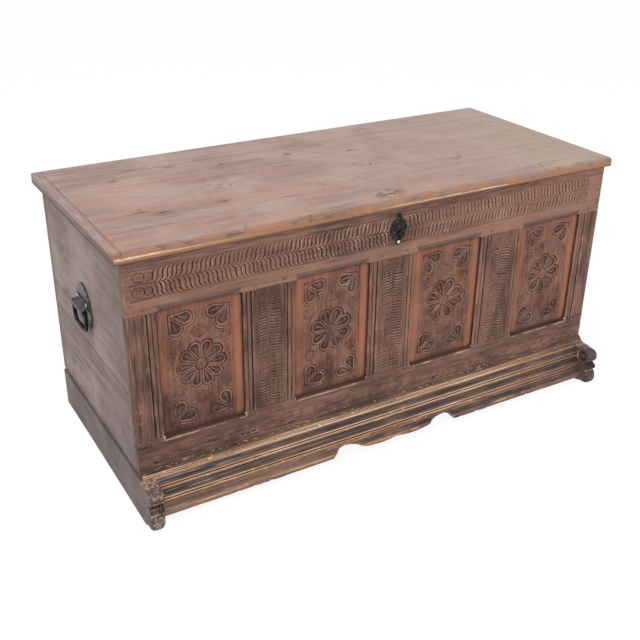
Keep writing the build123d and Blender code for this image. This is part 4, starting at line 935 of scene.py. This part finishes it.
def moulding(name, profile, half_length, back_y, seed, hatched=False, bow=False, deepest_pocket=4.0):
    """A run of moulding along x. The front profile runs upwards from the foot to the top's back."""
    front, near, near_hollow = profile_points(profile)
    xs = samples(-half_length, half_length, 2.5)
    lengths = run_lengths(front)
    below = 8
    rows, columns = below + len(front), len(xs)
    ys, zs, corner, pocket = (np.zeros((rows, columns)) for _ in range(4))
    tangent = np.gradient(front, axis=0)
    tangent /= np.linalg.norm(tangent, axis=1)[:, None]
    rise = np.argmax(front[:, 1]) + 1
    for column, x in enumerate(xs):
        foot = bow_level(x) if bow else front[0, 1]
        start = np.interp(foot, front[:rise, 1], lengths[:rise])
        places = start + (lengths[-1] - start) * lengths / lengths[-1]
        for rows_of, values in ((ys, front[:, 0]), (zs, front[:, 1]), (corner, near), (pocket, near_hollow)):
            rows_of[below:, column] = np.interp(places, lengths, values)
        corner[below:, column] = np.minimum(corner[below:, column], lengths)
        ys[:below, column] = np.linspace(back_y, ys[below, column], below + 1)[:-1]
        zs[:below, column] = foot
        corner[:below, column] = ys[:below, column] - ys[below, column]
        pocket[:below, column] = 9
    normal_y = np.concatenate([np.zeros(below), -tangent[:, 1]])[:, None]
    normal_z = np.concatenate([np.zeros(below), tangent[:, 0]])[:, None]
    x = np.broadcast_to(xs, ys.shape)
    along = np.concatenate([-np.arange(below, 0, -1), lengths])[:, None] + 0 * x
    noise = noise_over(x, along, seed)
    arris = ease(3.0, 0.9, corner)
    if bow:
        arris = arris * np.where(zs < 60, unit(0.35 + 0.9 * noise(60, 20, 28)), 1)
    wobble = 0.4 * noise(70, 30, 0) + 0.15 * noise(14, 5, 3) - 0.45
    chip = ease(0.46, 0.66, noise(17, 6, 6)) * ease(5, 0.5, corner)
    notch = ease(0.5, 0.75, noise(6, 6, 8)) * arris
    shift = np.clip(wobble - 0.9 * arris - 2.0 * chip - 0.8 * notch, -4.5, 0)
    ys, zs = ys + normal_y * shift, zs + normal_z * shift
    wear = np.clip(arris * (1.5 + 0.9 * noise(130, 12, 12)), 0, 2.0) + 1.4 * chip
    wear = wear * (1 - 0.5 * ease(330, 560, x))
    # coves darker: painted shade and dirt
    hollow = ease(3.0, 8.0, corner)
    tone = 0.4 * noise(110, 7, 15) - 0.3 * hollow
    cavity = (0.2 if hatched else 0.85) * hollow * (0.7 + noise(90, 5, 18))
    if bow:
        on_apron = ease(62, 50, zs) * ease(100, -300, x)
        cavity = cavity * (1 - 0.5 * on_apron)
        tone = tone + 0.6 * on_apron
    # painted shade in the hollow corners
    recess_shade = 0.4 if hatched else 0.95
    cavity = cavity + recess_shade * ease(deepest_pocket, 0.4 * deepest_pocket, pocket) * (1 - arris)
    # painted highlights: streaks in the coves towards the left, and a glossy run along the arrises right of the
    # middle
    streaked = ease(0.0, 0.4, noise(70, 2.2, 19))
    bloom_and_sheen = 0.7 * (not hatched) * (0.2 + 0.8 * ease(-300, -600, x)) * hollow * streaked
    glossy_run = ease(60, 220, x) * ease(460, 300, x)
    bloom_and_sheen = bloom_and_sheen + 0.6 * glossy_run * arris * ease(-0.2, 0.3, noise(120, 3, 30))
    if hatched:
        flecks = ease(0.15, 0.5, noise(9, 3, 25)) * ease(-0.3, 0.3, noise(90, 1, 26))
        wear = wear + 0.9 * ease(117, 119, zs) * flecks
        slant = x + 0.9 * zs + 2.5 * value_noise(x / 12, along, seed + 20)
        marks = ease(117, 119, zs) * ease(131, 129, zs) * ease(0.1, 0.8, np.sin(slant * 2 * np.pi / 6.0))
        ys = ys + 0.8 * marks
        # hatch grooves darker: painted shade and dirt
        cavity = cavity + 0.35 * marks
    back_foot = np.stack([xs, np.full_like(xs, back_y), np.full_like(xs, zs[-1].max())], -1)
    points = np.concatenate([np.stack([x, ys, zs], -1).reshape(-1, 3), back_foot])
    index = np.arange((rows + 1) * columns).reshape(rows + 1, columns)
    backs = np.stack([index[rows, :-1], index[rows, 1:], index[0, 1:], index[0, :-1]], -1)
    shares = {"wear": wear, "tone": tone, "cavity": unit(cavity), "bloom_and_sheen": bloom_and_sheen}
    piece = make_object(
        f"{name}_worn", points, [grid_faces(rows + 1, columns), backs], [index[::-1, 0], index[:, -1]],
        {key: np.concatenate([values.ravel(), np.zeros(columns)]) for key, values in shares.items()},
    )
    adopt(piece, name, "case", plinth_wood)


HIDDEN_EDGE = FRONT - 14
moulding(
    "plinth_lower_moulding", [(53, 18), (56, 30), (56, 33), (47, 40, 44, 50), (14, 50)],
    PLINTH_REACH + 3, HIDDEN_EDGE, 500, bow=True,
)
moulding(
    "plinth_middle_moulding",
    [(43, 50), (45, 52), (45, 58), (42, 59), (42, 63), (34, 69, 31, 79), (33, 80), (33, 86), (30, 87), (30, 91),
     (22, 97, 19, 108), (19, 111), (14, 111)],
    PLINTH_REACH + 3, HIDDEN_EDGE, 540,
)
moulding(
    "plinth_reed_moulding",
    [(20, 111), (20, 117), (15, 117), (15, 119), (12, 119), (10.8, 121.8, 8, 123), (6.8, 125.8, 4, 127),
     (2.8, 129.8, 0, 131)],
    SIDE, FRONT, 580, hatched=True, deepest_pocket=1.8,
)


# ---------------------------------------------------------------- pieces of any outline
def inside_outline(points, outline):
    """Which points lie inside a closed outline."""
    x, y = points[:, 0][:, None], points[:, 1][:, None]
    x1, y1 = outline[:, 0][None], outline[:, 1][None]
    x2, y2 = np.roll(outline, -1, 0)[:, 0][None], np.roll(outline, -1, 0)[:, 1][None]
    straddles = (y1 > y) != (y2 > y)
    crossing = x < (x2 - x1) * (y - y1) / np.where(y2 == y1, 1e-9, y2 - y1) + x1
    return (straddles & crossing).sum(1) % 2 == 1


def outline_normals(loop):
    """Normals that point away from the material of a loop that keeps it on the left."""
    tangent = np.roll(loop, -1, 0) - np.roll(loop, 1, 0)
    tangent /= np.linalg.norm(tangent, axis=1)[:, None]
    return np.stack([tangent[:, 1], -tangent[:, 0]], -1)


def resample(loop, step):
    """The same closed outline with evenly spaced points."""
    closed = np.vstack([loop, loop[:1]])
    lengths = run_lengths(closed)
    places = np.linspace(0, lengths[-1], max(8, int(lengths[-1] / step)) + 1)[:-1]
    return np.stack([np.interp(places, lengths, closed[:, 0]), np.interp(places, lengths, closed[:, 1])], -1)


RIM = 2  # the side of a piece that is neither its front (0) nor its back (1)


def fretwork(name, view, loops, surface, thickness, rounding, step, shape, rim_cut=None, grid=None):
    """A flat piece of any outline with rounded rims; shape(u, v, side) sinks and colours its faces."""
    loops = [resample(np.array(loop, float), step) for loop in loops]
    if rim_cut:
        loops = [loop - outline_normals(loop) * rim_cut(loop)[:, None] for loop in loops]
    inset = [loop - outline_normals(loop) * rounding for loop in loops]
    outer = inset[0]
    spans = [np.arange(low, high, grid or step) for low, high in zip(outer.min(0), outer.max(0))]
    inner = np.stack([places.ravel() for places in np.meshgrid(*spans)], -1)
    keep = inside_outline(inner, outer)
    for number, loop in enumerate(inset):
        for start in range(0, len(inner), 4000):
            part = slice(start, start + 4000)
            gap = np.min(np.linalg.norm(inner[part][:, None] - loop[None], axis=2), axis=1)
            keep[part] &= gap > 0.6 * step
        if number:
            keep &= ~inside_outline(inner, loop)
    rings = np.concatenate(inset)
    edges, first = [], 0
    for loop in inset:
        edges += [(first + k, first + (k + 1) % len(loop)) for k in range(len(loop))]
        first += len(loop)
    flat = [Vector(point) for point in np.concatenate([rings, inner[keep]])]
    result = delaunay_2d_cdt(flat, edges, [list(range(len(outer)))], 1, 1e-6)
    u, v = np.array([tuple(point) for point in result[0]]).T
    triangles = np.array([face for face in result[2] if len(face) == 3])
    for loop in inset[1:]:
        centres = np.stack([u, v], -1)[triangles].mean(1)
        triangles = triangles[~inside_outline(centres, loop)]
    origin = {source: number for number, sources in enumerate(result[3]) for source in sources}
    on_ring = np.array([origin[number] for number in range(len(rings))])
    (front_sink, front_shares), (back_sink, back_shares) = shape(u, v, 0), shape(u, v, 1)
    front_sink[on_ring] = back_sink[on_ring] = 0
    points = [in_view(view, u, v, surface - front_sink), in_view(view, u, v, surface - thickness + back_sink)]
    shares = {key: [front_shares[key], back_shares[key]] for key in front_shares}
    walls, first, total = [], 0, 2 * len(u)
    turns = [math.radians(angle) for angle in (30, 60, 90)]
    for loop, base in zip(loops, inset):
        size = len(loop)
        rows = [on_ring[first : first + size]]
        for turn, is_back in [(turn, False) for turn in turns] + [(turn, True) for turn in turns[::-1]]:
            place = base + outline_normals(loop) * rounding * math.sin(turn)
            sunk = np.broadcast_to(rounding * (1 - math.cos(turn)), (size, 1))[:, 0]
            level = surface - thickness + sunk if is_back else surface - sunk
            points.append(in_view(view, place[:, 0], place[:, 1], level))
            rows.append(np.arange(total, total + size))
            total += size
            for key, values in shape(place[:, 0], place[:, 1], RIM)[1].items():
                shares[key].append(values)
        rows.append(on_ring[first : first + size] + len(u))
        for a, d in zip(rows, rows[1:]):
            walls.append(np.stack([a, d, np.roll(d, -1), np.roll(a, -1)], -1))
        first += size
    faces = [triangles, triangles[:, [0, 2, 1]] + len(u), np.concatenate(walls)]
    shares = {key: np.concatenate(parts) for key, parts in shares.items()}
    return make_object(name, np.concatenate(points), faces, [], shares)


def runner_outline():
    """The sledge foot from the side, as (y, z), anticlockwise seen from +x."""
    knob, above, beak, below, heel = (
        (FRONT - ahead, level) for ahead, level in ((60, RUNNER_TOP), (66, 69.9), (81, 56.0), (70, 46.6), (62, 0.0))
    )
    points = [heel, (BACK - 10, 0.0), (BACK - 10, RUNNER_TOP), knob]
    points += arc_through(knob, (FRONT - 81, 90), above, 22)[1:]
    points += arc_through(above, (FRONT - 76, 64), beak, 8)[1:]
    points += arc_through(beak, (FRONT - 77, 49.5), below, 8)[1:]
    points += arc_through(below, (FRONT - 86, 24), heel, 22)[1:-1]
    return np.array(points)


VOLUTE = (FRONT - 52, 88.0)


def runner_shape(volute_side):
    """Relief and worn places of a runner's faces and rim, with painted shade and painted highlight; the volute is
    cut into the face towards the plinth.
    """

    def shape(u, v, side):
        y = -u
        noise = noise_over(y, v)
        grain, cavity = timber(y, v, 610 + 7 * side, depth=0.8)
        sink = -grain
        tone = 0.35 * noise(120, 14, 620 + side)
        wear = np.zeros_like(y)
        if side == volute_side:
            from_middle = y - VOLUTE[0]
            radius = np.hypot(from_middle, v - VOLUTE[1])
            sink = sink + 4.6 * ease(8.4, 9.6, radius) * ease(17.6, 16.4, radius)
            # painted shade in the volute's groove, then a painted highlight on the ring's outer flank towards the
            # back
            cavity = cavity + 0.8 * ease(8, 10, radius) * ease(18, 16, radius)
            wear = ease(15, 17, radius) * ease(25, 19, radius) * ease(-2, 8, from_middle)
        if side == RIM:
            patches = noise(14, 11, 630)
            ahead_of_board = ease(-288, -300, y)
            paler = (0.55 + 0.5 * patches) * (1.0 if volute_side else 0.45) + 1.3 * ease(3.5, 1.0, np.abs(v - 46))
            wear = wear + (paler + 0.5 * ease(0.35, 0.6, noise(6, 5, 634))) * ahead_of_board
            wear = wear + (1.0 + 0.8 * patches) * ease(16, 6, np.hypot(y - (FRONT - 22), v - 106) + 4 * patches)
            tone = tone + 0.1 * ahead_of_board
            # end grain darker ahead of the board; painted shade in the recess under the knob
            cavity = cavity + (0.4 - 0.5 * patches) * ahead_of_board + 0.8 * ease(13, 6, np.abs(v - 60))
        return sink, {"cavity": unit(cavity), "tone": tone, "wear": wear}

    return shape


def splayed(piece, side):
    """Turn a foot that was modelled square to its place, spread and warped outwards towards the front."""
    turn = Matrix.Rotation(-side * RUNNER_SPLAY, 4, "Z")
    piece.data.transform(Matrix.Translation((side * (SIDE + RUNNER_PROUD) * MM, 0, 0)) @ turn)
    places = np.empty(3 * len(piece.data.vertices), np.float32)
    piece.data.vertices.foreach_get("co", places)
    places = places.reshape(-1, 3)
    spread = SPREAD_FROM * MM - places[:, 1]
    flare = np.clip(1 - places[:, 2] / (FLARE_TOP * MM), 0, None) * (spread > 0)
    places[:, 0] += side * spread * (SPREAD_SLOPE + FLARE_SLOPE * flare)
    piece.data.vertices.foreach_set("co", places.ravel())


for side, surface, volute_side in ((-1, 0.0, 1), (1, RUNNER_THICKNESS, 0)):
    end = "left" if side < 0 else "right"
    outline = (runner_outline() * (-1, 1))[::-1]
    places = resample(outline, 2.6)
    in_front = ease(-300, -318, -places[:, 0])
    rounding = 2.0 + in_front * (3.5 + 6.5 * ease(46, 34, places[:, 1]))
    piece = fretwork(
        f"runner_{end}_worn", LEFT_VIEW, [outline], surface, RUNNER_THICKNESS, rounding[:, None], 2.6,
        runner_shape(volute_side), grid=4.0,
        rim_cut=lambda loop: 0.5 + 0.4 * fractal(loop[:, 0] / 18, loop[:, 1] / 18, 640)
        + ease(-295, -310, -loop[:, 0]) * (0.6 + 0.8 * fractal(loop[:, 0] / 6, loop[:, 1] / 6, 642)),
    )
    splayed(piece, side)
    adopt(piece, f"runner_{end}", "case", runner_wood)


# ---------------------------------------------------------------- iron
def lens(half_width, half_height):
    """A pointed oval, anticlockwise."""
    right = arc_through((0, -half_height), (half_width, 0), (0, half_height), 40)
    left = arc_through((0, half_height), (-half_width, 0), (0, -half_height), 40)
    return np.array(right[:-1] + left[:-1])


def plate_shape(u, v, side):
    """Hammer marks and dirt of a thin plate."""
    sink = 0.25 + 0.25 * fractal(u / 9, v / 9, 700) + 0.1 * fractal(u / 3, v / 3, 703)
    none = np.zeros_like(u)
    return np.clip(sink, 0, 0.7) * (side < RIM), {"cavity": none + 0.2, "tone": none, "wear": none}


for end, view in (("left", LEFT_VIEW), ("right", RIGHT_VIEW)):
    middle = -HANDLE_Y if end == "left" else HANDLE_Y
    outline = lens(*HANDLE_PLATE_HALF) + (middle, HANDLE_LEVEL)
    piece = fretwork(
        f"handle_plate_{end}_forged", view, [outline], SIDE + HANDLE_PLATE_THICKNESS, HANDLE_PLATE_THICKNESS,
        0.9, 2.0, plate_shape,
    )
    adopt(piece, f"handle_plate_{end}", "case", grey_iron)

angles = np.linspace(0, 2 * math.pi, 120, endpoint=False)
rim = np.stack([ESCUTCHEON_HALF[0] * np.cos(angles), ESCUTCHEON_HALF[1] * np.sin(angles)], -1)
rim += (LOCK_X, ESCUTCHEON_LEVEL)
for level, size in ESCUTCHEON_KNOBS:
    above = np.sign(level - ESCUTCHEON_LEVEL)
    across = rim[:, 0] - LOCK_X
    knob = above * level + np.sqrt(np.clip(size**2 - across**2, 0, None))
    on_knob = (np.abs(across) < size) & (above * (rim[:, 1] - ESCUTCHEON_LEVEL) > 20)
    rim[:, 1] = np.where(on_knob, above * np.maximum(above * rim[:, 1], knob), rim[:, 1])
turn = np.linspace(math.radians(-55), math.radians(235), 26)
hole = [(LOCK_X + 4.5 * math.cos(t), KEYHOLE_LEVEL + 4.5 * math.sin(t)) for t in turn]
hole += [(LOCK_X + side * 2.5, KEYHOLE_LEVEL - KEYHOLE_DEPTH) for side in (-1, 1)]
hole = np.array(hole)[::-1]


def escutcheon_shape(u, v, side):
    """A chased ring and petals round the keyhole, with painted highlights in patches on their raised parts."""
    across, up = (u - LOCK_X) / ESCUTCHEON_HALF[0], (v - ESCUTCHEON_LEVEL) / ESCUTCHEON_HALF[1]
    radius, angle = np.hypot(across, up), np.arctan2(up, across)
    petals = 0.35 * (1 + np.cos(8 * angle)) * ease(0.3, 0.45, radius) * ease(0.8, 0.7, radius)
    sink = 0.5 * dent(radius - 0.84, 0.05) + petals + 0.15 * (1 + fractal(u / 5, v / 5, 720))
    none = np.zeros_like(u)
    # painted highlights in patches on the raised parts
    paler = ease(0.15, 0.5, fractal(u / 5, v / 4, 724)) * ease(0.6, 0.2, sink)
    return np.clip(sink, 0, 0.8) * (side < RIM), {"cavity": none, "tone": none, "wear": paler}


piece = fretwork("escutcheon_forged", FRONT_VIEW, [rim, hole], -FRONT + 2, 2.0, 0.5, 1.2, escutcheon_shape)
adopt(piece, "escutcheon", "case", black_iron)

# ---------------------------------------------------------------- frame nodes that stay
KEPT = (  # material, width of the softened edge, nodes
    (runner_wood, 0.8, "plinth_board"),
    (post_wood, 0.4, "frame_pegs"),
    (back_wood, 1.0, "back_board_lower back_board_upper"),
    (inner_wood, 1.0, "floor_board_1 floor_board_2 floor_board_3"),
    (inner_iron, 0.2, "plinth_nails"),
    (inner_iron, 0.3, "lock_staple lock_staple_nails lock_plate lock_bolt hinge_pin_left hinge_pin_right"),
    (inner_iron, 0.4, "lock_plate_nails hinge_leaf_left hinge_leaf_right lid_strap_left lid_strap_right"),
    (inner_iron, 0.5, "lock_cover lid_strap_nails back_nails hinge_leaf_nails"),
    (nail_iron, 0.4, "escutcheon_nails"),
    (bright_iron, 0.4, "handle_rivets_left handle_rivets_right"),
    (grey_iron, 0.5, "handle_strap_left handle_strap_right"),
    (black_iron, 0.6, "handle_bail_left handle_bail_right"),
)
for material, width, names in KEPT:
    for piece in (nodes[name] for name in names.split()):
        for place in piece.material_slots:
            place.link = "OBJECT"
            place.material = material
        piece.modifiers.new("weld", "WELD").merge_threshold = 0.00002
        bevel = piece.modifiers.new("soft_edges", "BEVEL")
        bevel.width = width * MM
        bevel.segments = 2
        bevel.limit_method = "ANGLE"
        bevel.angle_limit = math.radians(35)
        bevel.use_clamp_overlap = True


# ---------------------------------------------------------------- floor, light and camera
def by_sight(g, hidden, seen):
    """One shader for rays that come from the camera, from gloss or through glass, another for the rest."""
    path = g.outputs("ShaderNodeLightPath")
    direct = g.math("MAXIMUM", path["Is Camera Ray"], path["Is Glossy Ray"])
    direct = g.math("MAXIMUM", direct, path["Is Transmission Ray"])
    return g.add("ShaderNodeMixShader", {0: direct, 1: hidden, 2: seen})


def grey(value):
    return (value, value, value, 1)


# white ground that keeps the shadow, and shows white to the camera and to gloss
ground = Graph(bpy.data.materials.new("ground"))
plain = ground.add("ShaderNodeBsdfDiffuse", {"Color": grey(0.72)})
dim = ground.add("ShaderNodeBsdfDiffuse", {"Color": grey(0.16)})
lit = ground.add("ShaderNodeAddShader", {0: dim, 1: ground.add("ShaderNodeEmission", {"Strength": 0.9})})
ground.outputs("ShaderNodeOutputMaterial", {"Surface": by_sight(ground, plain, lit)})
floor_mesh = bpy.data.meshes.new("ground")
floor_mesh.from_pydata([(-9, -9, 0), (9, -9, 0), (9, 9, 0), (-9, 9, 0)], [], [(0, 1, 2, 3)])
floor_mesh.materials.append(ground.owner)
floor = bpy.data.objects.new("ground", floor_mesh)
bpy.context.collection.objects.link(floor)

scene = bpy.context.scene
scene.world = bpy.data.worlds.new("studio")
studio = Graph(scene.world)
ambient = studio.add("ShaderNodeBackground", {"Color": grey(1.0), "Strength": 0.55})
backdrop = studio.add("ShaderNodeBackground", {"Strength": 1.0})
studio.outputs("ShaderNodeOutputWorld", {"Surface": by_sight(studio, ambient, backdrop)})


def soft_box(name, place, target, size, power):
    """A large area lamp that looks at a point."""
    light = bpy.data.lights.new(name, "AREA")
    light.shape = "RECTANGLE"
    light.size, light.size_y = size
    light.energy = power
    lamp = bpy.data.objects.new(name, light)
    lamp.location = place
    lamp.rotation_euler = (Vector(target) - Vector(place)).to_track_quat("-Z", "Y").to_euler()
    bpy.context.collection.objects.link(lamp)


soft_box("key", (-1.6, -1.2, 3.4), (0, 0, 0.4), (2.4, 2.4), 62)
soft_box("front_fill", (1.6, -3.6, 1.9), (0, -0.2, 0.3), (2.6, 1.8), 30)

CAMERA_PLACE = (-1.25019, -2.00571, 1.44284)
AZIMUTH, ELEVATION, ROLL = 30.77, -27.08, 0.75
FOCAL_PIXELS = 929.7
PICTURE_PIXELS = 640
FILM_WIDTH = 36
azimuth, elevation, roll = (math.radians(angle) for angle in (AZIMUTH, ELEVATION, ROLL))
ground_reach = math.cos(elevation)
forward = Vector((math.sin(azimuth) * ground_reach, math.cos(azimuth) * ground_reach, math.sin(elevation)))
level = Vector((math.cos(azimuth), -math.sin(azimuth), 0))
upward = level.cross(forward)
right = math.cos(roll) * level + math.sin(roll) * upward
up = math.cos(roll) * upward - math.sin(roll) * level
camera_data = bpy.data.cameras.new("camera")
camera_data.sensor_width = FILM_WIDTH
camera_data.lens = FOCAL_PIXELS / PICTURE_PIXELS * FILM_WIDTH
camera_data.clip_end = 50
camera = bpy.data.objects.new("camera", camera_data)
camera.matrix_world = Matrix.Translation(CAMERA_PLACE) @ Matrix((right, up, -forward)).transposed().to_4x4()
bpy.context.collection.objects.link(camera)
scene.camera = camera
scene.view_settings.view_transform = "Standard"
